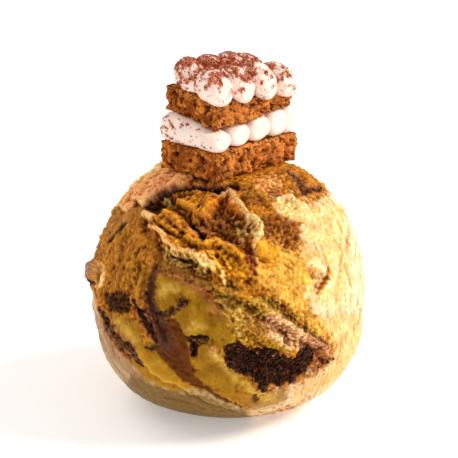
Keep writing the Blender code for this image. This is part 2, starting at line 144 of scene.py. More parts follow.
# Folds of the scoop, in millimetres right of and above the ball's centre as the eye sees them
FOLDS = {
    "main_lip": dict(
        line=[(-3.2, 4.1), (-5.3, 5.1), (-8.5, 7.4), (-11.7, 9.0), (-15.2, 11.5), (-19.1, 17.5)],
        rise=1.5, back=3.2, cliff=0.9, groove=0.9, high="right",
    ),
    "second_ridge": dict(
        line=[(-14.7, 17.7), (-12.0, 15.2), (-9.7, 12.4), (-7.6, 10.6)],
        rise=0.9, back=1.8, cliff=0.8, groove=0.8, high="right",
    ),
    "third_ridge": dict(
        line=[(-12.9, 20.2), (-9.2, 18.6), (-5.8, 16.1), (-4.8, 14.5)],
        rise=0.9, back=1.8, cliff=0.8, groove=0.8, high="left",
    ),
    "arch_flap": dict(
        line=[(-5.8, 17.0), (-3.2, 20.5), (-0.2, 22.3), (1.8, 20.2), (3.2, 17.3), (6.0, 15.9),
              (7.1, 13.3), (5.5, 10.4), (6.0, 6.9), (6.2, 4.6)],
        rise=1.5, back=2.2, cliff=0.9, groove=0.9, high="left",
    ),
    "cave_floor_lip": dict(
        line=[(-7.1, 10.4), (-3.0, 11.0), (0.9, 9.2), (3.9, 6.4), (6.0, 3.7)],
        rise=1.0, back=2.6, cliff=0.8, groove=0.8, high="right",
    ),
    "top_left_crag": dict(
        line=[(-9.2, 23.5), (-13.6, 22.3), (-16.6, 20.5), (-19.6, 18.4)],
        rise=1.4, back=3.0, cliff=0.9, groove=1.4, high="right",
    ),
    "left_crevice": dict(
        line=[(-24.4, 15.0), (-26.0, 12.0), (-27.8, 9.7)],
        rise=0.6, back=1.5, cliff=0.8, groove=1.0, high="left",
    ),
    "lower_lip": dict(
        line=[(-30.6, -2.8), (-28.3, -8.5), (-24.4, -13.1), (-19.6, -17.3), (-16.1, -19.8),
              (-12.4, -21.9), (-7.8, -23.7), (-3.2, -26.0), (2.3, -27.6)],
        rise=1.0, back=5.0, cliff=0.9, groove=0.3, high="left",
    ),
    "middle_crack": dict(
        line=[(-4.1, 0.7), (-1.2, -0.9), (2.3, -1.8), (7.4, -4.1), (12.7, -7.8), (17.3, -10.6),
              (21.2, -13.3), (23.7, -16.1)],
        rise=0.8, back=2.2, cliff=0.9, groove=0.8, high="left",
    ),
    "right_notch": dict(
        line=[(18.2, 6.0), (21.2, 4.6), (23.9, 2.5), (22.5, 0.2), (20.9, -2.1)],
        rise=0.7, back=1.6, cliff=0.8, groove=0.7, high="left",
    ),
}
GROOVE_WIDTH = 1.1 * MM
FOLD_END = 1.5 * MM  # how far a fold fades past its tips
DOMES = {
    "arch_cave": ((-0.9, 14.3), 4.2, -1.9),
    "right_cave": ((11.7, 13.3), 4.2, -1.5),
    "crumb_vein_left": ((5.0, -17.4), 3.8, -0.8),
    "crumb_vein_right": ((12.5, -18.6), 3.8, -0.8),
    "left_knob": ((-31.4, 3.7), 2.6, 1.9),
    "lower_left_bulge": ((-24.0, -19.0), 12.0, 0.6),
    "right_flank": ((31.0, 1.0), 12.0, -1.8),
}
SWELL_SIZE, SWELL_HEIGHT = 15.0 * MM, 0.4 * MM
CRAG_SIZE, CRAG_HEIGHT = 3.6 * MM, 0.75 * MM
CRAG_BIAS = 0.6
RAGGED_SIZE, RAGGED_SHIFT = 2.4 * MM, 0.75 * MM
SKIRT_TOP = -13.0 * MM
SKIRT_BLEND = 8.0 * MM
BACK_FOLDS = 13
BACK_SEED = 11
BACK_FOLD_POINTS = 6
BACK_FOLD_STEP = 0.17  # radians between the points of a fold
FLANK_START, FLANK_END, FLANK_WEAR = 0.55, 0.85, 0.75  # where and how far the right flank is worn

# Colours as they look, before they are turned into light
COLOURS = {
    "cream": "F0D2A4",
    "custard": "E6A844",
    "ochre": "B4801E",
    "mustard": "A47414",
    "golden": "EC9C1A",
    "amber": "B56E18",
    "orange": "C46C1A",
    "caramel": "AE6C1C",
    "toffee_and_shade": "643208",
    "coffee_and_shade": "381A0C",
    "chocolate": "1E0B04",
    "red_brown": "A05836",
    "peach": "F4A864",
    "butter": "FFC87A",
    "plum": "58301E",
    "tan": "C09C6E",
    "skirt_low": "785823",
    "orange_tan": "A86C24",
    "pink_tan": "EAAC76",
    "straw": "A06E14",
    "pale_straw": "DAAE4A",
    "flap": "FFA25E",
    "ledge_shade_brown": "8E5C20",
    "cocoa_stain": "E07C4A",
    "sponge_top_and_lit_side": "E89850",
    "yolk": "FAB030",
    "ridge": "C27A20",
    "khaki": "CC9E50",
    "cave_brown_and_shade": "B46A34",
    "cream_shade": "D8986E",
    "mauve": "94664C",
    "shadow_green": "6E5826",
    "white": "FFE5D8",
    "cocoa": "B65226",
    "cocoa_dark_and_shade": "84381A",
    "crumb_light": "6A3618",
    "sponge": "B45A12",
    "sponge_light": "E08A38",
    "sponge_dark": "683012",
    "sponge_pore_shade": "341206",
}


def colour(name):
    """A named colour as light, from its hexadecimal form."""
    parts = [int(COLOURS[name][i:i + 2], 16) / 255 for i in (0, 2, 4)]
    return np.array([part / 12.92 if part <= 0.04045 else ((part + 0.055) / 1.055) ** 2.4
                     for part in parts])


def area(name, colour_name, feather, outline, **looks):
    """A mark of the marbling that fills an outline."""
    return dict(name=name, colour=colour_name, feather=feather, outline=outline, **looks)


def stroke(name, colour_name, line, **looks):
    """A mark of the marbling along a line of (right, down, half width)."""
    return dict(name=name, colour=colour_name, line=line, **looks)


# Marbling of the front, in steps of the eye's view, with painted shade, painted shadows and
# painted highlights among its marks. `height` is what a mark adds to the gelato in millimetres,
# `grit` how coarse the gelato is there, `strength` how much of the mark shows, `speckle` how far
# it is broken up and `crumbs` how many chocolate crumbs lie on it. `ragged` is how far an area's
# edge wanders and
# `soft` how softly a stroke ends.
AREAS = [
    area("whole_front", "amber", 8, [(60, 150), (400, 150), (400, 440), (60, 440)], grit=0.75),
    area("upper_left", "orange_tan", 8, [(100, 235), (112, 205), (128, 190), (150, 200),
        (150, 222), (135, 238), (118, 240)], grit=0.7),
    area("sunny_side", "cream", 10, [(276, 200), (292, 196), (312, 205), (330, 196), (352, 200),
        (388, 260), (392, 330), (356, 380), (330, 396), (300, 404), (262, 414), (240, 416),
        (275, 392), (300, 382), (336, 350), (302, 305), (280, 285), (262, 268), (275, 262),
        (300, 262), (300, 222), (285, 215)], grit=0.25),
    area("warm_rim", "custard", 7, [(256, 240), (276, 240), (300, 258), (312, 280), (304, 296),
        (328, 335), (320, 346), (295, 312), (270, 292), (254, 276)], grit=0.45),
    area("right_gold", "yolk", 8, [(298, 208), (330, 202), (346, 215), (350, 280), (334, 308),
        (304, 290), (300, 232)], strength=0.75, speckle=0.8, grit=0.3),
    area("right_gold_low", "custard", 8, [(318, 318), (352, 312), (366, 335), (350, 372),
        (320, 390), (290, 400), (300, 385), (330, 362)], strength=0.8, speckle=0.5),
    area("low_crumbly", "ochre", 5, [(215, 288), (240, 298), (262, 298), (285, 310), (300, 335),
        (290, 352), (262, 347), (240, 345), (224, 345), (214, 318)], grit=0.8),
    area("low_crumbs_pale", "khaki", 6, [(198, 292), (215, 298), (240, 300), (262, 300),
        (284, 312), (280, 330), (250, 322), (240, 345), (212, 342), (206, 318)], strength=0.7,
        speckle=0.9, grit=0.85),
    area("shaded_low", "mustard", 5, [(150, 275), (190, 278), (222, 310), (235, 345), (240, 372),
        (235, 392), (180, 385), (140, 375), (108, 340), (96, 312), (120, 318), (150, 340)],
        grit=0.25),
    area("left_mass", "caramel", 5, [(104, 235), (125, 212), (150, 220), (162, 233), (166, 262),
        (150, 290), (146, 302), (130, 297), (112, 291), (106, 262)], strength=0.85, grit=0.45),
    area("top_left_flap", "flap", 2, [(134, 196), (134, 186), (150, 168), (168, 162), (190, 168),
        (193, 180), (177, 187), (161, 194), (147, 204), (140, 204)], height=0.8, grit=0.5),
    area("flap_lump", "flap", 2, [(120, 206), (123, 194), (132, 190), (136, 200), (132, 209),
        (124, 211)], height=0.7, strength=0.85, grit=0.45),
    area("skirt", "tan", 2, [(80, 282), (93, 290), (98, 311), (107, 332), (120, 352), (135, 367),
        (150, 378), (165, 386), (182, 388), (205, 391), (228, 402), (247, 410), (247, 424),
        (195, 428), (150, 420), (108, 390), (84, 346), (72, 300)], grit=0.1, ragged=0.3),
    area("skirt_shade", "skirt_low", 6, [(135, 372), (165, 388), (205, 394), (228, 405),
        (247, 411), (247, 424), (195, 428), (150, 420), (120, 392)], strength=0.9),
    area("skirt_mauve", "mauve", 3, [(104, 333), (112, 338), (126, 360), (146, 376), (140, 382),
        (118, 364), (106, 346)], strength=0.45),
    area("smooth_lip", "ochre", 3, [(126, 352), (142, 350), (160, 360), (180, 376), (196, 388),
        (180, 390), (160, 386), (138, 372)], grit=0.1),
    area("bottom", "straw", 5, [(228, 366), (245, 378), (262, 394), (285, 388), (284, 402),
        (258, 409), (240, 406), (218, 396), (200, 388), (215, 380)], strength=0.85, grit=0.2),
    # Painted highlight along the lit left edge
    area("left_edge_highlight", "butter", 3, [(95, 264), (101, 262), (105, 272), (102, 284), (96, 288)],
        strength=0.8, grit=0.2),
    area("top_golden", "orange_tan", 4, [(228, 196), (240, 184), (262, 178), (284, 168),
        (298, 180), (284, 188), (270, 198), (262, 206), (246, 200)], strength=0.5, speckle=0.8,
        grit=0.9),
    area("smooth_1", "straw", 4, [(157, 284), (166, 279), (178, 282), (186, 292), (174, 306),
        (162, 308), (156, 298)], grit=0.1),
    area("smooth_2", "straw", 6, [(178, 314), (196, 308), (212, 320), (214, 334), (206, 340),
        (180, 330)], strength=0.7, grit=0.15),
    area("smooth_3", "straw", 4, [(200, 350), (214, 348), (226, 362), (240, 375), (236, 388),
        (222, 386), (206, 376), (198, 364)], strength=0.8, grit=0.1),
    area("smooth_4", "straw", 4, [(115, 318), (126, 313), (136, 320), (143, 334), (141, 345),
        (130, 342), (121, 332)], strength=0.9, grit=0.1),
    area("tongue", "toffee_and_shade", 3, [(168, 316), (176, 320), (184, 334), (190, 350), (192, 364),
        (200, 380), (212, 390), (196, 387), (180, 377), (166, 362), (158, 352), (160, 334)],
        grit=0.3),
    # Painted shade on the band under the ledge
    area("ledge_lower", "ledge_shade_brown", 4, [(162, 258), (176, 262), (196, 270), (210, 276),
        (210, 290), (192, 284), (172, 276), (160, 268)], strength=0.9, grit=0.6),
    area("ledge_face", "khaki", 3, [(164, 244), (178, 250), (196, 256), (208, 266), (206, 278),
        (192, 272), (174, 266), (163, 258)], strength=0.95, grit=0.8),
    area("ledge_shade", "ledge_shade_brown", 3, [(165, 256), (176, 257), (190, 264), (202, 272),
        (196, 277), (180, 270), (168, 266)], strength=0.8, speckle=0.6, height=-0.3),
    area("arch_orange", "orange", 4, [(208, 198), (226, 190), (240, 202), (246, 214), (232, 214),
        (212, 210)], grit=0.8),
    area("centre_slope", "golden", 4, [(178, 240), (200, 243), (222, 243), (244, 258), (250, 276),
        (232, 284), (216, 272), (196, 254)], strength=0.5, speckle=0.7, grit=0.7),
    # The cave is painted darker: brown crumbs and painted shade in its hollow
    area("cave", "cave_brown_and_shade", 4, [(206, 214), (218, 208), (234, 213), (242, 222), (246, 236),
        (240, 246), (228, 245), (216, 240), (202, 240), (196, 230)], strength=0.9, speckle=0.4,
        height=-0.3, grit=1),
    area("cave_dark", "coffee_and_shade", 3, [(208, 220), (220, 214), (232, 218), (234, 232), (226, 240),
        (212, 234)], strength=0.6, speckle=0.6, crumbs=0.04),
    area("cave_lump", "khaki", 2, [(235, 222), (243, 222), (248, 234), (243, 243), (237, 238)],
        strength=0.8, height=0.6, grit=0.8),
    area("below_arch", "toffee_and_shade", 3, [(240, 187), (252, 188), (261, 198), (262, 206), (250, 206),
        (242, 200)], strength=0.7, speckle=0.5, grit=0.9),
    area("top_lump", "peach", 4, [(256, 180), (270, 174), (281, 180), (280, 188), (268, 192),
        (258, 189)], strength=0.6, grit=0.7),
    area("arch_head", "butter", 2.5, [(246, 216), (254, 215), (262, 222), (262, 232), (256, 240),
        (246, 224)], height=0.3, strength=0.9, grit=0.6),
    area("top_cream", "butter", 7, [(272, 204), (286, 198), (304, 204), (302, 216), (288, 220)],
        strength=0.9, grit=0.6),
    area("red_crumbs", "red_brown", 4, [(262, 215), (272, 213), (285, 218), (298, 224), (299, 244),
        (290, 252), (276, 250), (264, 242)], strength=0.75, speckle=1, crumbs=0.03, grit=0.95),
    area("red_deep", "coffee_and_shade", 2.5, [(262, 214), (271, 214), (273, 228), (270, 242), (263, 240)],
        strength=0.45, speckle=0.6),
    area("top_crumbs", "red_brown", 2, [(270, 189), (282, 189), (283, 196), (271, 198)],
        strength=0.8, speckle=0.7),
    area("golden_middle", "golden", 4, [(257, 242), (275, 244), (278, 258), (268, 268),
        (258, 262)], strength=0.9, speckle=0.4),
    area("middle_brown", "red_brown", 4, [(241, 316), (255, 314), (271, 325), (271, 336),
        (258, 336), (246, 326)], strength=0.75, speckle=0.7, grit=0.9),
    area("pink_band", "pink_tan", 4, [(268, 312), (282, 316), (300, 328), (322, 340), (330, 352),
        (316, 352), (296, 350), (276, 342), (266, 328)], strength=0.9, grit=0.95),
    area("speckled_1", "coffee_and_shade", 3, [(268, 298), (282, 302), (300, 318), (320, 334), (326, 344),
        (306, 336), (284, 320)], strength=0.75, speckle=1, crumbs=0.06, grit=1),
    area("speckled_2", "red_brown", 3, [(302, 345), (318, 338), (332, 346), (332, 360), (318, 372),
        (304, 364)], strength=0.85, speckle=0.7, crumbs=0.12, grit=1),
    area("flake", "butter", 2, [(188, 251), (204, 255), (215, 265), (212, 271), (200, 264),
        (190, 257)], strength=0.7, height=0.5, grit=0.6, speckle=0.4),
    area("dark_patch_left", "coffee_and_shade", 2.5, [(103, 294), (110, 290), (114, 294), (119, 288),
        (124, 293), (129, 292), (130, 304), (127, 313), (116, 312), (108, 311)], height=-0.3,
        strength=0.95, speckle=0.2, crumbs=0.08, grit=0.9),
    area("dark_patch_core", "chocolate", 2.5, [(105, 300), (112, 296), (120, 300), (128, 298),
        (128, 308), (118, 310), (108, 309)], strength=0.8, speckle=0.4),
    area("dark_spot", "chocolate", 1.6, [(185, 337), (207, 335), (208, 343), (198, 346),
        (196, 356), (190, 353), (189, 345)], height=-0.3, crumbs=0.3, speckle=0.3, grit=0.8),
    area("spot_crumbs", "red_brown", 2, [(206, 345), (219, 346), (220, 360), (210, 356)],
        strength=0.8, speckle=0.8, grit=1),
    # Painted shade in the recess under the flap, over a hollow
    area("recess", "coffee_and_shade", 1.8, [(144, 207), (150, 200), (162, 196), (176, 198), (176, 204),
        (162, 211), (150, 213)], height=-0.6, speckle=0.3),
    area("vein_halo", "red_brown", 3, [(222, 346), (240, 343), (258, 350), (284, 352), (296, 356),
        (308, 344), (324, 348), (320, 364), (304, 378), (282, 388), (264, 395), (252, 382),
        (236, 374), (225, 366)], strength=0.7, speckle=0.8, grit=1),
    area("vein", "chocolate", 2, [(225, 347), (234, 345), (243, 346), (252, 352), (259, 348),
        (273, 351), (286, 355), (294, 359), (299, 352), (305, 347), (311, 349), (314, 356),
        (308, 366), (300, 374), (294, 380), (284, 382), (280, 385), (270, 384), (264, 391),
        (253, 378), (240, 372), (228, 366)], ragged=1.6, strength=0.95, height=-0.3, crumbs=1,
        grit=0.5),
]
STROKES = [
    stroke("smooth_1_light", "pale_straw", [(162, 292, 5), (170, 288, 5), (177, 290, 3)],
        strength=0.8, soft=0.95),
    stroke("smooth_2_light", "pale_straw", [(188, 330, 3), (196, 326, 4), (205, 328, 3)],
        strength=0.45, soft=0.95),
    stroke("smooth_3_light", "pale_straw", [(212, 352, 3), (222, 364, 4), (234, 378, 4)],
        strength=0.55, soft=0.95),
    stroke("smooth_4_light", "pale_straw", [(118, 322, 3), (126, 330, 5), (134, 340, 4)],
        strength=0.7, soft=0.95),
    stroke("bottom_light", "pale_straw", [(244, 384, 3), (258, 396, 4), (272, 398, 4)],
        strength=0.6, soft=0.95),
    stroke("left_shade_1", "toffee_and_shade", [(139, 262, 2), (140, 272, 2.5), (136, 284, 1.5)],
        strength=0.7, height=-0.4),
    stroke("left_shade_2", "toffee_and_shade", [(122, 246, 1.5), (121, 268, 2.5), (119, 288, 1.5)],
        strength=0.45, soft=0.7, height=-0.25),
    stroke("left_shade_3", "toffee_and_shade", [(160, 240, 3), (158, 262, 4), (150, 280, 2)], strength=0.5,
        soft=0.7),
    stroke("ridge_light_1", "straw", [(135, 252, 1.4), (131, 271, 1.8), (128, 288, 1.6)],
        strength=0.7, soft=0.7, height=0.45),
    stroke("ridge_light_2", "straw", [(145, 262, 1.4), (139, 283, 1.8), (138, 298, 1.6)],
        strength=0.7, soft=0.7, height=0.45),
    stroke("red_band", "red_brown", [(162, 273, 2.5), (176, 276, 3), (190, 284, 4),
        (209, 299, 4.5), (219, 316, 4)], strength=0.65, soft=0.9),
    # Painted highlight along the lit main crest
    stroke("main_crest", "flap", [(150, 227, 1.8), (162, 231, 2.4), (165, 241, 2.4),
        (175, 248, 2.2), (189, 251, 2.2), (202, 255, 2.2), (211, 263, 2)], strength=0.8, soft=0.7,
        height=0.7),
    stroke("ridge_2", "ridge", [(156, 217, 1.8), (166, 226, 2.2), (175, 231, 2.2), (184, 236, 2.2),
        (198, 242, 2.2), (207, 244, 1.5)], strength=0.6, soft=0.7, height=0.7),
    stroke("ridge_2_shade", "toffee_and_shade", [(152, 219, 1), (163, 229, 1.6), (174, 235, 1.8),
        (184, 241, 1.8), (196, 248, 2)], strength=0.7, soft=0.8, height=-0.6),
    stroke("ridge_3", "ridge", [(165, 211, 1.8), (173, 212, 2), (181, 220, 2.4), (190, 230, 2.2),
        (196, 236, 2), (199, 241, 1.5)], strength=0.6, soft=0.7, height=0.7),
    stroke("ridge_3_shade", "cave_brown_and_shade", [(163, 215, 1.4), (170, 222, 1.8), (178, 229, 1.8),
        (186, 234, 1.5)], strength=0.8, soft=0.8, height=-0.6),
    stroke("ridge_4", "ridge", [(174, 200, 1.8), (184, 204, 2.2), (196, 207, 2.2), (206, 213, 2),
        (214, 222, 1.5)], strength=0.6, soft=0.7, height=0.6),
    stroke("ridge_4_shade", "cave_brown_and_shade", [(176, 205, 1.4), (186, 210, 1.8), (196, 215, 2),
        (205, 222, 1.8)], strength=0.8, soft=0.8, height=-0.6),
    stroke("block", "peach", [(146, 214, 3), (151, 216, 3.4)], strength=0.8, height=0.8),
    # The arch's edge and lip are a pale crumbly flake, painted lighter as painted highlight where
    # lit
    stroke("arch_edge", "flap", [(221, 192, 2), (230, 197, 3), (237, 205, 3)], strength=0.8,
        soft=0.9),
    stroke("arch_lip", "peach", [(228, 190, 1.4), (234, 197, 2), (242, 208, 2.4), (248, 216, 2.4),
        (256, 221, 2.6), (260, 228, 3), (258, 236, 2.6), (254, 243, 2), (254, 250, 1.6),
        (257, 262, 1.4)], strength=0.85, soft=0.7, height=0.5, grit=0.9),
    stroke("cave_crest", "ridge", [(201, 243, 1.6), (213, 241, 1.8), (218, 239.5, 1.8),
        (224, 245, 2), (233, 247, 2), (238, 253, 1.8), (246, 257, 1.4)], strength=0.8, soft=0.7,
        height=0.7),
    stroke("cave_crest_shade", "toffee_and_shade", [(206, 249, 2), (218, 247, 2), (228, 253, 2.5),
        (238, 260, 2.5)], strength=0.45, soft=0.9, height=-0.3),
    stroke("slope_light_1", "golden", [(218, 250, 1.2), (224, 258, 1.6), (230, 268, 1.4)],
        strength=0.7, soft=0.7, height=0.4),
    stroke("slope_light_2", "custard", [(208, 252, 1.2), (216, 260, 1.6), (222, 272, 1.6)],
        strength=0.7, soft=0.7, height=0.4),
    stroke("cream_bits", "butter", [(222, 272, 1.6), (224, 281, 2.2), (225, 288, 1.6)],
        strength=0.7, soft=0.7, height=0.5),
    # Painted highlight along the flap's lit top edge, with pale specks
    stroke("flap_light", "butter", [(136, 184, 3), (150, 175, 4), (166, 169, 4), (182, 170, 3)],
        strength=0.8, soft=0.9, speckle=0.6),
    stroke("flap_specks", "red_brown", [(140, 197, 3), (156, 187, 4), (174, 178, 3)], strength=0.6,
        soft=0.9, speckle=1),
    stroke("black_line", "chocolate", [(99.5, 308, 1.8), (104, 318, 3), (110, 329, 5),
        (117, 338, 4), (123, 345, 5.5), (130, 350, 4.5), (137, 360, 2.5), (143, 366, 1)],
        height=-0.3, speckle=0.35, crumbs=0.15),
    stroke("black_streak", "chocolate", [(133, 300, 2), (137, 307, 2.4), (144, 317, 3.3),
        (148, 326, 3.5), (152, 334, 3), (156, 342, 1.6)], height=-0.4),
    stroke("lens", "coffee_and_shade", [(146, 347.5, 1.4), (152, 348.5, 2.4), (158, 346.5, 1.8)]),
    stroke("lens_tail", "toffee_and_shade", [(158, 350, 2), (164, 356, 2.5), (172, 366, 2.5), (184, 380, 2)],
        soft=0.8),
    stroke("swirl", "plum", [(157, 266, 2.5), (152, 281, 4.5), (150, 296, 5.5), (153, 310, 6.5),
        (158, 322, 8.5), (162, 336, 9), (168, 350, 6)], soft=0.7),
    stroke("swirl_inner", "coffee_and_shade", [(151, 284, 1.6), (149, 298, 2.2), (154, 312, 2.6),
        (160, 326, 3), (166, 340, 2)], strength=0.9, soft=0.9),
    stroke("swirl_branch", "plum", [(160, 318, 5), (170, 313, 4), (178, 307, 5), (184, 302, 4)],
        soft=0.7, speckle=0.3, grit=1),
    stroke("swirl_branch_dark", "coffee_and_shade", [(164, 316, 2), (174, 310, 2), (182, 304, 3)],
        strength=0.9, soft=0.9, speckle=0.7),
    stroke("spot_tail", "chocolate", [(193, 345, 3), (193, 355, 2)]),
    # Painted shade in the pits under the ledge, over sunk pits
    stroke("pits_under_ledge", "coffee_and_shade", [(173, 257, 1.4), (178, 258, 1), (184, 261, 2),
        (190, 262, 2.4), (196, 266, 1.8)], height=-0.6, strength=0.9),
    # Painted shadow below the flap and the slab, in the chocolate colour, over a groove
    stroke("crevice", "chocolate", [(150, 203, 2), (157, 198, 2.4), (165, 193, 2.6),
        (175, 190, 2.8), (184, 188, 2.4), (194, 188, 2), (206, 188, 2), (218, 189, 2)],
        height=-0.9),
    stroke("recess_lump", "khaki", [(165, 201, 2.6), (169, 203, 3)], height=0.8, strength=0.8),
    # Painted shade in a slit, in the chocolate colour, over a groove
    stroke("slit", "chocolate", [(191, 226, 1.6), (197, 230, 2.4), (201, 235, 2.8), (203, 241, 2)],
        height=-0.8),
    stroke("left_dash", "coffee_and_shade", [(125, 223, 1), (120, 229, 1.8), (115, 235, 2), (109, 242, 1.3)],
        height=-0.3, soft=0.7),
    # Painted shade in the gash, over a groove
    stroke("gash", "cocoa_dark_and_shade", [(247, 241, 3), (249, 251, 4), (251, 260, 4.4), (255, 273, 2.6)],
        height=-0.5, soft=0.8),
    stroke("upper_gash", "chocolate", [(287, 172, 1.3), (295, 179, 2.2), (301, 186, 3),
        (305, 191, 3.2), (313, 189, 2.6), (319, 191, 1.8)], height=-0.4, crumbs=0.3, soft=0.7,
        speckle=0.4),
    stroke("upper_gash_tail", "orange", [(298, 198, 1.2), (307, 204, 1.2)], soft=0.8),
    # Painted shadow under the slab's edge, in the chocolate colour, over shallow grooves
    stroke("gap_1", "chocolate", [(214, 188, 2), (225, 188, 2)], height=-0.4),
    stroke("gap_2", "chocolate", [(230, 186, 2), (238, 188, 2.2)], height=-0.4),
    stroke("crack_1", "shadow_green", [(212, 289, 2), (222, 294, 3.6), (231, 296, 3.6),
        (240, 301, 2.4)], height=-0.4, soft=0.9, strength=0.9, speckle=0.5),
    stroke("green_pits", "shadow_green", [(228, 284, 2), (236, 289, 2.6)], height=-0.3,
        strength=0.8, soft=0.8),
    stroke("crack_2", "shadow_green", [(262, 296, 2), (268, 301, 2.6), (276, 306, 2)], height=-0.3,
        soft=0.9, speckle=0.6),
    stroke("crack_3", "coffee_and_shade", [(272, 305, 1.2), (287, 315, 2), (300, 325, 2), (314, 335, 1.8),
        (324, 343, 1.4)], strength=0.7, height=-0.4, soft=0.8, speckle=0.5),
    stroke("vein_strip", "pink_tan", [(257, 354, 1.2), (268, 354, 1.8), (280, 357, 2),
        (291, 361, 1.3)], soft=0.7, height=0.3),
    stroke("vein_light_1", "crumb_light", [(236, 356, 2), (252, 366, 2.5), (266, 374, 2)],
        strength=0.6, soft=0.9, speckle=0.8),
    stroke("vein_light_2", "crumb_light", [(276, 370, 2), (290, 370, 2.5), (304, 360, 3)],
        strength=0.6, soft=0.9, speckle=0.8),
    stroke("dot", "toffee_and_shade", [(255, 397.5, 3.2), (256, 399.5, 3.2)], height=-0.2, soft=0.7),
    stroke("oval", "ochre", [(237, 386, 2.2), (237, 391, 2.2)], height=-0.4, strength=0.6),
    stroke("orange_dash", "orange", [(329, 268, 1.6), (328, 276, 2.2), (322, 286, 2.2),
        (317, 293, 1.2)], height=-0.2, soft=0.7),
    stroke("thin_arc", "orange", [(334, 240, 0.9), (342, 252, 1), (340, 265, 0.9)], strength=0.7),
    stroke("knob", "mauve", [(87, 266, 5), (88, 279, 4)]),
    stroke("knob_shade", "coffee_and_shade", [(88, 281, 1.5), (93, 284, 1.5)]),
    stroke("chips", "mauve", [(98, 244, 2), (99, 247, 1.6)]),
    # Painted shadow under the skirt's lip
    stroke("skirt_edge_shadow", "toffee_and_shade", [(190, 385, 1), (205, 389, 1.3), (216, 396, 1.6),
        (230, 402, 1.2), (241, 407, 1.2)], strength=0.8, height=-0.3),
    stroke("skirt_streak_2", "mauve", [(95, 318, 0.9), (104, 344, 1.1), (118, 370, 1.1),
        (140, 392, 0.9)], strength=0.5),
    stroke("skirt_streak_3", "toffee_and_shade", [(165, 398, 0.9), (185, 402, 1.2), (205, 409, 0.9)],
        strength=0.55),
    stroke("skirt_streak_4", "toffee_and_shade", [(91, 300, 0.8), (96, 326, 0.9), (106, 352, 0.8)],
        strength=0.4),
]
EDGE_RAGGED = 0.9  # how far marbling edges wander, as a share of a mark's feather or half width
HALO_REACH, HALO_STRENGTH = 2.4, 0.75  # of the brown round chocolate strokes, in half widths
EDGE_FADE = 0.6  # half the width over which an area ends, in feathers
STROKE_SOFTNESS = 0.45
STROKE_RAGGED = 0.8
TORN_SIZE, TORN = 6 * MM, 0.22  # how unevenly the front's marks end at the back
TORN_BIT_SIZE, TORN_BIT = 1.6 * MM, 0.1
BACK_START, BACK_END = -0.04, -0.4
CRUMBS_AHEAD = 0.05  # chocolate crumbs lie only on what faces the eye more than this
WOBBLE_SIZE, SMALL_WOBBLE_SIZE, SMALL_WOBBLE = 1.3 * MM, 0.6 * MM, 0.6
SPECKLE_SIZE, LARGE_SPECKLE_SIZE, LARGE_SPECKLE = 0.55 * MM, 1.2 * MM, 0.4
SPECKLE_SHADE = 0.25

# Marbling of the back
WARP_SIZE, WARP = 9 * MM, 2.4 * MM
BACK_SLANT = np.array([0.55, 0.55, 1.0])
FLOW_SIZE, SMALL_FLOW_SIZE, SMALL_FLOW = 6.5 * MM, 2.2 * MM, 0.35
BAND_SIZE, SMALL_BAND_SIZE, SMALL_BAND = 10 * MM, 3 * MM, 0.2
DARK_SIZE, SMALL_DARK_SIZE, SMALL_DARK = 7.5 * MM, 1.4 * MM, 0.25
VEIN_LEVEL = 0.17
SKIRT_WANDER_SIZE, SKIRT_WANDER, SKIRT_RISE = 6 * MM, 3.5 * MM, 12 * MM

# Fine relief of the gelato
PLAIN_GRIT, GRIT_SIZE, GRIT_SWING, FLANK_GRIT = 0.5, 7 * MM, 0.25, -0.3
LEAST_RELIEF = 0.15
# Where the front turns sunny, pitted and streaky, in steps right or down over the eye's view
SUNNY_RIGHT, PITTED_RIGHT = (275, 315), (220, 260)
STREAKY_RIGHT, STREAKY_DOWN = (150, 172), (240, 262)
CRUMBLY_SIZE, RIPPLY_SIZE = 5.0 * MM, 8.0 * MM
BEND_SIZE, BEND = 6 * MM, 1.5 * MM
LUMP_SIZE, LUMP_HEIGHT = 2.3 * MM, 0.5 * MM
GRAIN_SIZE, GRAIN_HEIGHT = 0.8 * MM, 0.35 * MM
CRUMBLE_SIZE, CRUMBLE_HEIGHT = 1.0 * MM, 0.4 * MM
PIT_SIZE, PIT_DEPTH = 1.5 * MM, 0.7 * MM
STRIPE_WIDTH, STRIPE_LENGTH, STRIPE_HEIGHT = 0.85 * MM, 9.0 * MM, 0.14 * MM
RIPPLE_WIDTH, RIPPLE_LENGTH, RIPPLE_HEIGHT = 3.0 * MM, 11.0 * MM, 0.6 * MM
RIPPLE_SLANT = math.radians(38.0)  # the scoop drew its ripples down to the right
STREAK_SLANT = math.radians(80.0)
STRIPE_SLANT = math.radians(86.0)
# Painted shade: how much darker the gelato is in creases and wider hollows of these depths, and
# painted highlight on crests
CREASE_SHADE, CREASE_DEPTH, CREASE_ROUNDS = 0.5, 0.15 * MM, 5
HOLLOW_SHADE, HOLLOW_DEPTH, HOLLOW_ROUNDS = 0.5, 0.6 * MM, 60
CREASE_LIMITS, HOLLOW_LIMITS, SHADE_LIMITS = (-0.8, 1.2), (-1.0, 0.7), (0.08, 2.0)
HOLLOW_TINT = np.array([0.75, 1.0, 1.35])  # hollows lose blue first and red last

# The materials
SPECK_START, SPECK_END, SPECK_RISE, SPECK_STRENGTH = 0.95, 1.0, 0.38, 0.75
SPECK_SIZE = 2.2  # times the grain
GRAIN_TINT = (0.85, 1.0, 1.25)
SCATTER_SCALE = 1.2 * MM

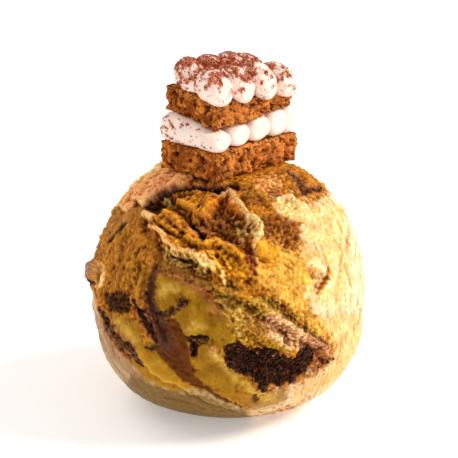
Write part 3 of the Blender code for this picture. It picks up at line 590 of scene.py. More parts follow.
# The light
KEY_TOWARDS, KEY_TINT = (-0.78, -0.06, -0.62), (1.0, 0.96, 0.88)
KEY_STRENGTH, KEY_SPREAD = 2.9, math.radians(22.0)
RIM_TOWARDS, RIM_TINT = (0.62, -0.42, -0.66), (1.0, 0.97, 0.93)
RIM_STRENGTH, RIM_SPREAD = 1.0, math.radians(40.0)
AMBIENT, BACKGROUND, SKY_TINT = 0.56, 0.95, (1.0, 0.99, 0.97, 1.0)
FLOOR_REACH, FLOOR_ROUGHNESS, FLOOR_GLOW = 3.0, 0.9, 0.3


def smooth_step(low, high, value):
    t = np.clip((value - low) / (high - low), 0.0, 1.0)
    return t * t * (3 - 2 * t)


def sampled(places, size, seed, sample):
    """A noise's value at each place, at one size. Each use has a seed of its own."""
    offset = Vector((seed * 7.3, seed * 3.1, seed * 5.7))
    return np.array([sample(Vector(place) + offset) for place in places / size])


def noise_at(places, size, seed):
    """Gradient noise from about -1 to 1 at each place."""
    return sampled(places, size, seed, noise.noise)


def crumbs_at(places, size, seed):
    """Round lumps with sharp creases between them, from about -0.5 to 0.5, at each place."""
    return sampled(places, size, seed, lambda place: 0.5 - noise.voronoi(place)[0][0])


def rough_at(places, size, seed):
    """Noise of four sizes laid over each other, from about -1 to 1, at each place."""
    return sampled(places, size, seed, lambda place: noise.fractal(place, 0.75, 2.0, 4))


def smooth_line(points, steps):
    """Points of a Catmull-Rom curve through the given ones."""
    points = [np.asarray(point, float) for point in points]
    ends = [2 * points[0] - points[1], *points, 2 * points[-1] - points[-2]]
    found = []
    for before, start, end, after in zip(ends, ends[1:], ends[2:], ends[3:]):
        for step in range(steps):
            t = step / steps
            found.append(
                0.5 * (2 * start + (end - before) * t
                       + (2 * before - 5 * start + 4 * end - after) * t ** 2
                       + (3 * start - before - 3 * end + after) * t ** 3)
            )
    return np.array([*found, points[-1]])


def on_ball(right_mm, up_mm):
    """The point of the ball, from its centre, that the eye sees there."""
    sight = RIGHT * right_mm * MM + UP * up_mm * MM - EYE
    sight /= np.linalg.norm(sight)
    nearest = -(EYE @ sight)
    under_root = BALL_RADIUS ** 2 - EYE @ EYE + nearest ** 2
    point = EYE + sight * (nearest - math.sqrt(max(under_root, 0.0)))
    return point * BALL_RADIUS / np.linalg.norm(point)


def back_fold(rng):
    """One fold of the back: a short curved walk over the ball, rising and falling at a slant."""
    turn = rng.uniform(math.radians(10), math.radians(170))
    lift = rng.uniform(math.radians(-35), math.radians(50))
    slope = rng.uniform(-0.9, -0.2)
    bend = rng.uniform(-0.12, 0.12)
    points = []
    for _ in range(BACK_FOLD_POINTS):
        points.append(BALL_RADIUS * np.array([
            math.cos(lift) * math.cos(turn), math.cos(lift) * math.sin(turn), math.sin(lift)
        ]))
        turn -= BACK_FOLD_STEP
        lift += BACK_FOLD_STEP * slope
        slope += bend
    return dict(points=points, rise=rng.uniform(0.7, 1.3), back=rng.uniform(1.8, 3.4), cliff=0.9,
                groove=rng.uniform(0.4, 0.9), high="left")


def front_folds():
    """The folds that the eye sees, with their lines as points of the ball."""
    return [dict(fold, points=[on_ball(*point) for point in fold["line"]])
            for fold in FOLDS.values()]


def back_folds():
    """The folds of the back, laid by a rule."""
    rng = np.random.default_rng(BACK_SEED)
    return [back_fold(rng) for _ in range(BACK_FOLDS)]


def side_distance(places, line):
    """Distance of each place from a line on the ball, above zero on the left of its travel."""
    best = np.full(len(places), np.inf)
    signed = np.zeros(len(places))
    for start, end in zip(line, line[1:]):
        run = end - start
        from_start = places - start
        along = np.clip(from_start @ run / (run @ run), 0.0, 1.0)
        gap = np.linalg.norm(from_start - along[:, None] * run, axis=1)
        side = np.where(places @ np.cross(run, start) <= 0, 1.0, -1.0)
        nearer = gap < best
        signed[nearer] = (side * gap)[nearer]
        best[nearer] = gap[nearer]
    return signed


def end_fade(places, line):
    """One along a fold's line, fading out past its two ends."""
    fade = np.ones(len(places))
    for tip, inner in ((line[0], line[1]), (line[-1], line[-2])):
        outward = (tip - inner) / np.linalg.norm(tip - inner)
        fade *= 1 - smooth_step(-FOLD_END, FOLD_END, (places - tip) @ outward)
    return fade


def fold_relief(places, fold, ragged):
    """Height that one fold adds at each place."""
    line = smooth_line(fold["points"], 4)
    side = 1.0 if fold["high"] == "left" else -1.0
    across = side * side_distance(places, line) + ragged
    cliff = fold["cliff"] * MM
    lip = np.exp(-np.maximum(across, 0.0) / (fold["back"] * MM))
    lip = lip * smooth_step(-cliff, 0.4 * cliff, across)
    groove = np.exp(-(((across + cliff + GROOVE_WIDTH) / GROOVE_WIDTH) ** 2))
    height = (fold["rise"] * lip - fold["groove"] * groove) * MM
    return height * end_fade(places, line)


def dome_relief(places, spot, radius_mm, height_mm):
    """Height that one round swelling or hollow adds at each place."""
    gap = np.linalg.norm(places - on_ball(*spot), axis=1)
    return height_mm * MM * np.exp(-((gap / (radius_mm * MM)) ** 4))


def scoop_relief(places):
    """Height of the gelato over the plain ball at each place on it."""
    ragged = RAGGED_SHIFT * noise_at(places, RAGGED_SIZE, 1)
    ragged += 0.4 * RAGGED_SHIFT * noise_at(places, 0.35 * RAGGED_SIZE, 4)
    rough = smooth_step(SKIRT_TOP, SKIRT_TOP + SKIRT_BLEND, places[:, 2])
    relief = SWELL_HEIGHT * noise_at(places, SWELL_SIZE, 2)
    relief += CRAG_HEIGHT * rough * (noise_at(places, CRAG_SIZE, 3) - CRAG_BIAS)
    for fold in front_folds():
        relief += fold_relief(places, fold, ragged)
    worn = 1 - FLANK_WEAR * smooth_step(FLANK_START, FLANK_END, places[:, 0] / BALL_RADIUS)
    for fold in back_folds():
        relief += worn * fold_relief(places, fold, ragged)
    for dome in DOMES.values():
        relief += dome_relief(places, *dome)
    return relief


def base_radius(directions):
    """Radius of the plain ball with its underside turned softly into a flat base."""
    down = np.maximum(-directions[:, 2], 1e-6)
    floor_reach = (BALL_HEIGHT + BASE_DIP) / down
    softened = np.exp(np.minimum(-(floor_reach - BALL_RADIUS) / BASE_ROUNDING, 50.0))
    return BALL_RADIUS - BASE_ROUNDING * np.log1p(softened)


def turned(x, y, yaw):
    """A place in the plane, turned by yaw."""
    return x * math.cos(yaw) - y * math.sin(yaw), x * math.sin(yaw) + y * math.cos(yaw)


def seat_height(points):
    """Height that the gelato may reach: level under the lower slab, rising away from it."""
    x, y = turned(points[:, 0] - LOWER_SPOT.x, points[:, 1] - LOWER_SPOT.y, -LOWER_YAW)
    outside = np.hypot(np.maximum(np.abs(x) - LOWER_LONG / 2, 0.0),
                       np.maximum(np.abs(y) - LOWER_SHORT / 2, 0.0))
    return LOWER_SPOT.z + SEAT_SINK + SEAT_RAMP * np.maximum(outside - SEAT_MARGIN, 0.0)


def cell_box(counts):
    """A closed box from -1 to 1, cut into this many cells along x, y and z, as a mesh."""
    shape = bmesh.new()
    bmesh.ops.create_cube(shape, size=2.0)
    for axis, count in enumerate(counts):
        along = [edge for edge in shape.edges
                 if abs((edge.verts[0].co - edge.verts[1].co).normalized()[axis]) > 0.99]
        bmesh.ops.subdivide_edges(shape, edges=along, cuts=count - 1, use_grid_fill=True)
    data = bpy.data.meshes.new("cells")
    shape.to_mesh(data)
    shape.free()
    return data


def places_of(data):
    """Coordinates of a mesh's points."""
    places = np.empty(len(data.vertices) * 3, np.float32)
    data.vertices.foreach_get("co", places)
    return places.reshape(-1, 3).astype(float)


def normals_of(data):
    """Directions in which a mesh's points face."""
    normals = np.empty(len(data.vertices) * 3, np.float32)
    data.vertex_normals.foreach_get("vector", normals)
    return normals.reshape(-1, 3).astype(float)


def put_places(data, places):
    data.vertices.foreach_set("co", places.astype(np.float32).ravel())
    data.update()


def put_paint(data, colours, grit=1.0):
    """Keeps one colour for each point of a mesh, and how coarse its grain is there."""
    paint = data.attributes.new("paint", "FLOAT_COLOR", "POINT")
    filled = np.ones((len(colours), 4), np.float32)
    filled[:, :3] = np.clip(colours, 0.0, 1.0)
    filled[:, 3] = grit
    paint.data.foreach_set("color", filled.ravel())


def add_piece(name, data, material, slot, node=None):
    """Shows a mesh as one piece, in place of the node if one is given."""
    obj = bpy.data.objects.new(name, data)
    bpy.context.scene.collection.objects.link(obj)
    data.materials.clear()
    data.materials.append(material)
    data.shade_smooth()
    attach(obj, "root")
    if node:
        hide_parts(node)
    return obj


def add_node(tree, kind, **values):
    """A shader node with its named inputs filled or linked."""
    node = tree.nodes.new(kind)
    for name, value in values.items():
        socket = node.inputs[name.replace("_", " ")]
        if isinstance(value, bpy.types.NodeSocket):
            tree.links.new(value, socket)
        else:
            socket.default_value = value
    return node


def between(tree, value, low, high, low_result, high_result):
    """A value mapped from one range to another, and kept inside it."""
    node = add_node(tree, "ShaderNodeMapRange", Value=value)
    for name, number in (("From Min", low), ("From Max", high), ("To Min", low_result),
                         ("To Max", high_result)):
        node.inputs[name].default_value = number
    return node.outputs["Result"]


def calculated(tree, operation, *values):
    """The result of a Math or Vector Math node with these inputs."""
    vector = operation.startswith("VECTOR_")
    node = tree.nodes.new("ShaderNodeVectorMath" if vector else "ShaderNodeMath")
    node.operation = operation.removeprefix("VECTOR_")
    for socket, value in zip(node.inputs, values):
        if isinstance(value, bpy.types.NodeSocket):
            tree.links.new(value, socket)
        else:
            socket.default_value = value
    return node.outputs[0]


def food_material(name, roughness, shine, scatter, radius, grain_size, grain_depth, contrast,
                  speck=None):
    """A Principled material with the piece's own paint, a fine grain and perhaps dark specks."""
    material = bpy.data.materials.new(name)
    material.use_nodes = True
    tree = material.node_tree
    shader = tree.nodes["Principled BSDF"]
    paint = tree.nodes.new("ShaderNodeAttribute")
    paint.attribute_name = "paint"
    coords = tree.nodes.new("ShaderNodeTexCoord").outputs["Object"]
    grain = add_node(tree, "ShaderNodeTexNoise", Vector=coords, Scale=1 / grain_size, Detail=4.0,
                     Roughness=0.65).outputs["Fac"]
    swing = calculated(tree, "MULTIPLY", between(tree, grain, 0.3, 0.7, -contrast, contrast),
                       paint.outputs["Alpha"])
    factor = calculated(tree, "VECTOR_MULTIPLY_ADD", swing, GRAIN_TINT, (1.0, 1.0, 1.0))
    tinted = calculated(tree, "VECTOR_MULTIPLY", factor, paint.outputs["Color"])
    if speck:
        loose = add_node(tree, "ShaderNodeTexNoise", Vector=coords,
                         Scale=1 / (SPECK_SIZE * grain_size), Detail=3.0,
                         Roughness=0.7).outputs["Fac"]
        level = calculated(tree, "MULTIPLY_ADD", paint.outputs["Alpha"], SPECK_RISE, loose)
        share = between(tree, level, SPECK_START, SPECK_END, 0.0, SPECK_STRENGTH)
        mix = tree.nodes.new("ShaderNodeMix")
        mix.data_type = "RGBA"
        tree.links.new(share, mix.inputs["Factor"])
        tree.links.new(tinted, mix.inputs[6])
        mix.inputs[7].default_value = (*colour(speck), 1.0)
        tinted = mix.outputs[2]
    tree.links.new(tinted, shader.inputs["Base Color"])
    bump = add_node(tree, "ShaderNodeBump", Height=grain, Distance=grain_depth,
                    Strength=paint.outputs["Alpha"])
    tree.links.new(bump.outputs["Normal"], shader.inputs["Normal"])
    shader.inputs["Roughness"].default_value = roughness
    shader.inputs["Specular IOR Level"].default_value = shine
    shader.inputs["Subsurface Weight"].default_value = scatter
    shader.inputs["Subsurface Radius"].default_value = radius
    shader.inputs["Subsurface Scale"].default_value = SCATTER_SCALE
    return material


def seen_at(points):
    """Where the eye sees each point of the scoop, in steps right and down over its view."""
    sight = points - EYE
    depth = -(sight @ TOWARDS)
    focal = LENS / SENSOR * VIEW_STEPS
    across = VIEW_MIDDLE + focal * (sight @ RIGHT) / depth
    down = VIEW_MIDDLE - focal * (sight @ UP) / depth
    return np.stack([across, down], axis=1)


def outline_distance(seen, outline):
    """Distance of each seen place from an outline, below zero inside it."""
    ring = smooth_line([*outline, outline[0]], 4)
    inside = np.zeros(len(seen), bool)
    nearest = np.full(len(seen), np.inf)
    for start, end in zip(ring, ring[1:]):
        run = end - start
        if run @ run < 1e-12:
            continue
        offset = seen - start
        along = np.clip(offset @ run / (run @ run), 0.0, 1.0)
        nearest = np.minimum(nearest, np.linalg.norm(offset - along[:, None] * run, axis=1))
        if abs(run[1]) > 1e-12:
            crosses = (start[1] > seen[:, 1]) != (end[1] > seen[:, 1])
            reach = start[0] + (seen[:, 1] - start[1]) * run[0] / run[1]
            inside ^= crosses & (seen[:, 0] < reach)
    return np.where(inside, -nearest, nearest)


def stroke_level(seen, line):
    """Distance of each seen place from a stroke's middle, in its half widths there."""
    path = smooth_line(line, 4)
    level = np.full(len(seen), np.inf)
    for start, end in zip(path, path[1:]):
        run = end[:2] - start[:2]
        offset = seen - start[:2]
        along = np.clip(offset @ run / max(run @ run, 1e-12), 0.0, 1.0)
        gap = np.linalg.norm(offset - along[:, None] * run, axis=1)
        level = np.minimum(level, gap / (start[2] + (end[2] - start[2]) * along))
    return level


def mark_amounts(seen, facing, wobble, speckles):
    """Each mark of the front with how much of it lies at every point."""
    for patch in AREAS:
        gap = outline_distance(seen, patch["outline"]) / patch["feather"]
        gap += patch.get("ragged", EDGE_RAGGED) * wobble
        amount = 1 - smooth_step(-EDGE_FADE, EDGE_FADE, gap)
        yield patch, amount * facing * speckled(patch, speckles)
    for line in STROKES:
        soft = line.get("soft", STROKE_SOFTNESS)
        level = stroke_level(seen, line["line"])
        if line["colour"] == "chocolate":
            amount = HALO_STRENGTH * (1 - smooth_step(1.0, HALO_REACH, level + wobble))
            yield dict(colour="red_brown"), amount * facing
        level += STROKE_RAGGED * EDGE_RAGGED * wobble
        amount = 1 - smooth_step(1 - soft, 1 + soft, level)
        yield line, amount * facing * speckled(line, speckles)


def speckled(mark, speckles):
    """Share of a mark left where it is broken up into specks."""
    loose = mark.get("speckle", 0.0)
    return mark.get("strength", 1.0) * (1 - loose * (1 - smooth_step(-0.15, 0.25, speckles)))


def right_flank(places):
    """How far each place lies on the smooth, pale right side of the ball."""
    return smooth_step(0.2, 0.7, places[:, 0] / BALL_RADIUS)


def back_marbling(places):
    """Colours of the marbling that the front marks don't cover, laid by a rule."""
    warp = WARP * noise_at(places, WARP_SIZE, 51)
    slanted = places * BACK_SLANT + warp[:, None]
    flow = noise_at(slanted, FLOW_SIZE, 52) + SMALL_FLOW * noise_at(places, SMALL_FLOW_SIZE, 53)
    bands = noise_at(slanted, BAND_SIZE, 54) + SMALL_BAND * noise_at(places, SMALL_BAND_SIZE, 55)
    dark = noise_at(slanted, DARK_SIZE, 56) + SMALL_DARK * noise_at(places, SMALL_DARK_SIZE, 57)
    side = places[:, 0] / BALL_RADIUS
    sunny = smooth_step(0.05, 0.7, side + 0.5 * noise_at(places, GRIT_SIZE, 58))
    low = places[:, 2] + SKIRT_WANDER * noise_at(places, SKIRT_WANDER_SIZE, 59)
    low -= SKIRT_RISE * smooth_step(0.3, 1.0, -side)
    vein = 1 - smooth_step(0.02, 0.09, np.abs(flow - VEIN_LEVEL))
    colours = np.tile(colour("amber"), (len(places), 1))
    for name, amount in (
        ("ridge", smooth_step(-0.25, 0.2, bands)),
        ("custard", 0.8 * smooth_step(0.1, 0.4, bands)),
        ("caramel", 0.8 * smooth_step(0.28, 0.48, flow)),
        ("cream", 0.9 * sunny),
        ("peach", 0.6 * smooth_step(0.2, 0.45, -flow)),
        ("toffee_and_shade", 0.8 * vein * smooth_step(0.0, 0.3, bands)),
        ("red_brown", 0.8 * smooth_step(0.36, 0.46, dark)),
        ("coffee_and_shade", 0.9 * smooth_step(0.44, 0.52, dark)),
        ("tan", 0.9 * (1 - smooth_step(-18 * MM, -15.5 * MM, low))),
    ):
        colours += (colour(name) - colours) * amount[:, None]
    return colours


def ripples(places, width, length, slant, seed):
    """Sharp-crested ripples from about -0.5 to 0.5 that run down to the right at a slant."""
    turn = np.arctan2(places[:, 0], -places[:, 1]) * BALL_RADIUS
    along = turn * math.cos(slant) - places[:, 2] * math.sin(slant)
    across = turn * math.sin(slant) + places[:, 2] * math.cos(slant)
    bend = BEND * noise_at(places, BEND_SIZE, seed + 1)
    flat = np.stack([along / length, (across + bend) / width, 0 * turn], axis=1)
    return 0.5 - 2.2 * np.abs(noise_at(flat, 1.0, seed))


def fine_relief(places, seen, facing, grit):
    """Crumbs, pits and ripples of the gelato at each place, stronger where it is gritty."""
    rough = LEAST_RELIEF + (1 - LEAST_RELIEF) * smooth_step(0.1, 0.85, grit)
    right, down = seen.T
    sunny = np.maximum(facing * smooth_step(*SUNNY_RIGHT, right), right_flank(places))
    streaky = facing * (1 - smooth_step(*STREAKY_RIGHT, right)) * smooth_step(*STREAKY_DOWN, down)
    pits = noise_at(places, PIT_SIZE, 43)
    pitted = facing * (1 - smooth_step(*PITTED_RIGHT, right))
    relief = LUMP_HEIGHT * rough_at(places, LUMP_SIZE, 41)
    relief += GRAIN_HEIGHT * smooth_step(-0.1, 0.5, noise_at(places, GRAIN_SIZE, 42))
    relief -= PIT_DEPTH * smooth_step(0.3, 0.55, pits) * pitted
    crumbly = smooth_step(-0.25, 0.3, noise_at(places, CRUMBLY_SIZE, 46))
    relief += CRUMBLE_HEIGHT * crumbs_at(places, CRUMBLE_SIZE, 48) * (0.15 + 0.85 * crumbly)
    slanted = ripples(places, RIPPLE_WIDTH, RIPPLE_LENGTH, RIPPLE_SLANT, 45)
    slanted *= 0.3 + 0.7 * smooth_step(-0.2, 0.3, noise_at(places, RIPPLY_SIZE, 50))
    upright = ripples(places, RIPPLE_WIDTH, RIPPLE_LENGTH, STREAK_SLANT, 47)
    relief += RIPPLE_HEIGHT * (slanted * (1 - streaky) * (1 - 0.85 * sunny) + upright * streaky)
    striped = ripples(places, STRIPE_WIDTH, STRIPE_LENGTH, STRIPE_SLANT, 49)
    return relief * rough + STRIPE_HEIGHT * striped * (0.1 + 0.9 * sunny)


def evened(data, heights, rounds):
    """Heights of a mesh's points, each blended with its neighbours this many times."""
    ends = np.empty(len(data.edges) * 2, np.int32)
    data.edges.foreach_get("vertices", ends)
    first, second = ends.reshape(-1, 2).T
    count = len(heights)
    neighbours = np.bincount(first, minlength=count) + np.bincount(second, minlength=count)
    for _ in range(rounds):
        total = np.bincount(first, heights[second], count)
        total += np.bincount(second, heights[first], count)
        heights = 0.5 * heights + 0.5 * total / neighbours
    return heights


def hollow_shade(data, heights):
    """Factor for the colour at each point: painted shade, low in creases and hollows, and painted
    highlight, high on crests.
    """
    crease = (heights - evened(data, heights, CREASE_ROUNDS)) / CREASE_DEPTH
    hollow = (heights - evened(data, heights, HOLLOW_ROUNDS)) / HOLLOW_DEPTH
    shade = 1 + CREASE_SHADE * np.clip(crease, *CREASE_LIMITS)
    return shade + HOLLOW_SHADE * np.clip(hollow, *HOLLOW_LIMITS)


def drawn_to_front(directions):
    """Moves directions towards the eye's side, so that the cells there are finer."""
    stretch = 1 / math.sqrt(1 - FRONT_DRAW ** 2)
    ahead = directions @ TOWARDS
    moved = directions + ((stretch - 1) * ahead + stretch * FRONT_DRAW)[:, None] * TOWARDS
    return moved / np.linalg.norm(moved, axis=1)[:, None]


def facing_front(places, ahead):
    """One on the side that the eye sees, fading unevenly to zero past its edge."""
    torn = TORN * noise_at(places, TORN_SIZE, 65) + TORN_BIT * noise_at(places, TORN_BIT_SIZE, 66)
    return smooth_step(BACK_END, BACK_START, ahead + torn * smooth_step(0.0, 0.2, -ahead))


def marbled_and_shaded(places, seen, ahead):
    """Colour, height, grit and share of chocolate that the marbling, with its painted shade and
    highlights, gives each place.
    """
    facing = facing_front(places, ahead)
    wobble = noise_at(places, WOBBLE_SIZE, 61)
    wobble += SMALL_WOBBLE * noise_at(places, SMALL_WOBBLE_SIZE, 62)
    speckles = noise_at(places, SPECKLE_SIZE, 63)
    speckles += LARGE_SPECKLE * noise_at(places, LARGE_SPECKLE_SIZE, 64)
    colours = back_marbling(places)
    height, dark = np.zeros(len(places)), np.zeros(len(places))
    grit = PLAIN_GRIT + GRIT_SWING * noise_at(places, GRIT_SIZE, 67)
    grit += FLANK_GRIT * right_flank(places)
    for mark, amount in mark_amounts(seen, facing, wobble, speckles):
        colours += (colour(mark["colour"]) - colours) * amount[:, None]
        height += mark.get("height", 0.0) * MM * amount
        if "grit" in mark:
            grit += (mark["grit"] - grit) * amount
        if "crumbs" in mark:
            dark = np.maximum(dark, mark["crumbs"] * amount * (ahead > CRUMBS_AHEAD))
    height += fine_relief(places, seen, facing, grit)
    return colours, height, grit, dark, speckles


def make_scoop(material):
    """The gelato ball, and its points that are chocolate with how dark they are."""
    data = cell_box((FINE_CELLS,) * 3)
    spread = np.tan(places_of(data) * math.pi / 4)
    directions = drawn_to_front(spread / np.linalg.norm(spread, axis=1)[:, None])
    places = directions * BALL_RADIUS
    fade = smooth_step(-BALL_HEIGHT, -BALL_HEIGHT + BASE_FADE, places[:, 2])
    radius = base_radius(directions) + scoop_relief(places) * fade
    seen = seen_at(directions * radius[:, None])
    colours, height, grit, dark, speckles = marbled_and_shaded(places, seen, directions @ TOWARDS)
    radius += height * fade
    # Painted shade in creases and hollows and painted highlight on crests, with random speckles
    shade = hollow_shade(data, radius - base_radius(directions))
    shade *= 1 + SPECKLE_SHADE * grit * speckles
    colours = colours * np.clip(shade[:, None], *SHADE_LIMITS) ** HOLLOW_TINT

    points = directions * radius[:, None] + np.array([0.0, 0.0, BALL_HEIGHT])
    points[:, 2] = np.clip(points[:, 2], 0.0, seat_height(points))
    put_places(data, points)
    put_paint(data, colours, grit)
    add_piece("gelato_scoop_skin", data, material, "gelato", "gelato_scoop")
    return data, dark


def between_corners(heights, x, y):
    """Blend of four corner heights at x and y, each from -1 to 1 across the slab."""
    front = heights["front"] * (1 - x) + heights["right"] * (1 + x)
    back = heights["left"] * (1 - x) + heights["back"] * (1 + x)
    return (front * (1 - y) + back * (1 + y)) / 4


def lower_faces(x, y):
    """Heights of the lower slab's flat faces over its own underside."""
    return 0.0 * x, 0.0 * x + LOWER_THICK


def upper_faces(x, y):
    """Heights of the upper slab's flat faces over the lower slab's top."""
    across, along = x / (UPPER_LONG / 2), y / (UPPER_SHORT / 2)
    return (between_corners(UPPER_UNDERSIDE, across, along),
            between_corners(UPPER_TOP, across, along))


def turned_places(places, spot, yaw):
    """Places of a slab's own frame, in the frame of the whole."""
    x, y = turned(places[:, 0], places[:, 1], yaw)
    return np.stack([x, y, places[:, 2]], axis=1) + np.array(spot)


def sponge_paint(places, outward, depth, seed):
    """Colours of the sponge: a lighter top, the right face painted lighter and the left face
    darker as painted light and shade, random tone, painted highlights on raised bits and painted
    shade in the pores.
    """
    tone = noise_at(places, TONE_SIZE, seed + 6)
    fleck = noise_at(places, FLECK_SIZE, seed + 7)
    colours = np.tile(colour("sponge"), (len(places), 1))
    for tint, amount in (
        # Painted light and shade: the top is lighter, the right face painted lighter and the left
        # face darker for the light from the right
        ("sponge_top_and_lit_side", 0.8 * (outward[:, 2] > 0) + 0.35 * (outward[:, 1] < 0)),
        ("sponge_dark", 0.35 * (outward[:, 0] < 0)),
        ("sponge_light", 0.8 * smooth_step(0.0, 0.5, tone + 0.8 * fleck)),
        ("sponge_dark", 0.6 * smooth_step(0.05, 0.5, 0.6 * fleck - tone)),
        # Painted highlight on raised bits and painted shade in the sunk pores
        ("sponge_light", 0.8 * smooth_step(0.08 * MM, 0.4 * MM, -depth)),
        ("sponge_pore_shade", 0.95 * smooth_step(0.1 * MM, 0.6 * MM, depth)),
    ):
        colours += (colour(tint) - colours) * amount[:, None]
    return colours


def make_sponge(name, node, long_side, short_side, faces_at, seed, spot, yaw, material):
    """A slab of sponge with ragged, porous sides."""
    size = np.array([long_side, short_side, LOWER_THICK])
    data = cell_box([max(round(side / SPONGE_CELL), 2) for side in size])
    unit = places_of(data)
    outward = np.where(np.abs(unit) > 0.999, np.sign(unit), 0.0)
    points = unit * size / 2
    wander = WANDER * noise_at(points, WANDER_SIZE, seed)
    crumb = CRUMB_DEPTH * noise_at(points, CRUMB_SIZE, seed + 1)
    edge_gap = np.sort(size / 2 - np.abs(points), axis=1)[:, 1]
    worn = WORN_DEPTH * np.exp(-((edge_gap / WORN_REACH) ** 2))
    worn *= 0.4 + 1.6 * np.abs(noise_at(points, WORN_SIZE, seed + 2))
    lumps = CLUMP_HEIGHT * crumbs_at(points, CLUMP_SIZE, seed + 8)
    lumps += CLUMPLET_HEIGHT * crumbs_at(points, CLUMPLET_SIZE, seed + 9)
    pores = noise_at(points, PORE_SIZE, seed + 3) + 0.7 * noise_at(points, 1.0 * MM, seed + 4)
    pore = smooth_step(0.15, 0.65, pores)
    grain = SPONGE_GRAIN * rough_at(points, SPONGE_GRAIN_SIZE, seed + 5)
    sideways = wander + crumb - worn - PORE_DEPTH * pore + grain + lumps
    points[:, :2] += outward[:, :2] * sideways[:, None]
    under, top = faces_at(points[:, 0], points[:, 1])
    inward = FACE_DIP * np.abs(crumb) + worn + PORE_SINK * pore - 0.3 * lumps + SPONGE_SINK
    points[:, 2] = under + (top - under) * (unit[:, 2] + 1) / 2 - outward[:, 2] * inward
    put_places(data, turned_places(points, spot, yaw))
    depth = evened(data, sideways, SPONGE_ROUNDS) - sideways
    put_paint(data, sponge_paint(unit * size / 2, outward, depth, seed))
    return add_piece(name, data, material, "coffee_sponge", node)


def rope_rings(front, back, end, section_at):
    """Cross sections along a rope with round ends, each point given by section_at."""
    rings = []
    for step in range(ROPE_RINGS):
        t = ROPE_CAP * math.sin(math.pi / 2 * (2 * step / (ROPE_RINGS - 1) - 1))
        along = front + (back - front) * (t + 1) / 2
        from_tip = min(min(along - front, back - along) / end, 1.0)
        full = (1 - (1 - from_tip) ** END_ROUNDNESS) ** (1 / END_ROUNDNESS)
        ring = []
        for side in range(ROPE_SIDES):
            angle = 2 * math.pi * (side + 0.5) / ROPE_SIDES
            ring.append(section_at(t, along, full, math.cos(angle), math.sin(angle)))
        rings.append(ring)
    return rings


def filling_rope(centre, reach):
    """A rope of the filling, squeezed between the level lower slab and the sagging upper one."""

    def section_at(_, along, full, across, rise):
        fuller = math.copysign(abs(across) ** FILLING_SQUARENESS, across)
        x = centre + reach * (FILLING_TIP + (1 - FILLING_TIP) * full) * fuller
        ceiling = upper_faces(*turned(x, along, LOWER_YAW - UPPER_YAW))[0] + CREAM_SINK
        middle, half_height = (ceiling - CREAM_SINK) / 2, (ceiling + CREAM_SINK) / 2
        half_height *= 1 - 2 * FILLING_SQUEEZE * (1 - full)
        fuller = math.copysign(abs(rise) ** FILLING_SQUARENESS, rise)
        return Vector((x, along, middle + half_height * fuller))

    return rope_rings(FILLING_FRONT, FILLING_BACK, FILLING_END, section_at)


def topping_rope(centre, reach, height, lean):
    """A rope of the topping: two round beads that flow into each other, with a free top."""

    def section_at(t, along, full, across, rise):
        neck = math.exp(-(((t - BEAD_SPLIT) / BEAD_LENGTH) ** 2))
        width = reach * (1 - BEAD_WAIST * neck) * (1 - TIP_NARROWING * (1 - full))
        x = centre + lean * t + width * across
        foot = upper_faces(x, along)[1] - CREAM_SINK
        foot -= BEAD_DROOP * float(smooth_step(DROOP_START, TOPPING_FRONT, along))
        spread = (1 - BEAD_MIDDLE) * (1 - TOPPING_SQUEEZE * (1 - full))
        rounded = max(BEAD_MIDDLE + spread * rise, 0.0)
        return Vector((x, along, foot + height * (1 - BEAD_PINCH * neck) * rounded))

    return rope_rings(TOPPING_FRONT, TOPPING_BACK, TOPPING_END, section_at)


def tubes(ropes):
    """Closed tubes through the rings of every rope, in one shape."""
    shape = bmesh.new()
    for rings in ropes:
        loops = [[shape.verts.new(point) for point in ring] for ring in rings]
        for loop, following in zip(loops, loops[1:]):
            for i, vert in enumerate(loop):
                j = (i + 1) % len(loop)
                shape.faces.new((vert, loop[j], following[j], following[i]))
        for loop in (loops[0], loops[-1]):
            shape.faces.new(loop)
    bmesh.ops.recalc_face_normals(shape, faces=shape.faces[:])
    return shape


def run_together(ropes):
    """The ropes' tubes, joined into one skin of even cells."""
    shape = tubes(ropes)
    draft = bpy.data.meshes.new("draft")
    shape.to_mesh(draft)
    shape.free()
    helper = bpy.data.objects.new("draft", draft)
    bpy.context.scene.collection.objects.link(helper)
    skin = helper.modifiers.new("skin", "REMESH")
    skin.mode = "VOXEL"
    skin.voxel_size = CREAM_CELL
    graph = bpy.context.evaluated_depsgraph_get()
    data = bpy.data.meshes.new_from_object(helper.evaluated_get(graph))
    bpy.data.objects.remove(helper)
    return data


def make_cream(name, node, ropes, spot, yaw, cocoa_at, material):
    """One layer of piped ropes, run together into one skin, with painted shade in its creases and
    cocoa where it lies dense.
    """
    data = run_together(ropes)
    places, normals = places_of(data), normals_of(data)
    ripple = np.zeros(len(places))
    for seed, (size, height) in enumerate(CREAM_WAVES, 70):
        ripple += height * noise_at(places, size, seed)
    places += normals * ripple[:, None]
    cocoa = cocoa_at(places, normals)
    colours = np.tile(colour("white"), (len(places), 1))
    # Painted shade: the cream turns towards cream_shade where it sinks below its neighbours, in
    # the creases between the ropes
    level = np.stack([evened(data, places[:, axis], CREAM_ROUNDS) for axis in range(3)], axis=1)
    sunk = np.einsum("ij,ij->i", level - places, normals)
    crease = CREAM_CREASE * smooth_step(0.02 * MM, 0.3 * MM, sunk)
    colours += (colour("cream_shade") - colours) * crease[:, None]
    colours += (colour("cocoa_stain") - colours) * (CREAM_STAIN * cocoa)[:, None]
    put_places(data, turned_places(places, spot, yaw))
    put_paint(data, colours)
    add_piece(name, data, material, "mascarpone_cream", node)
    return data, cocoa


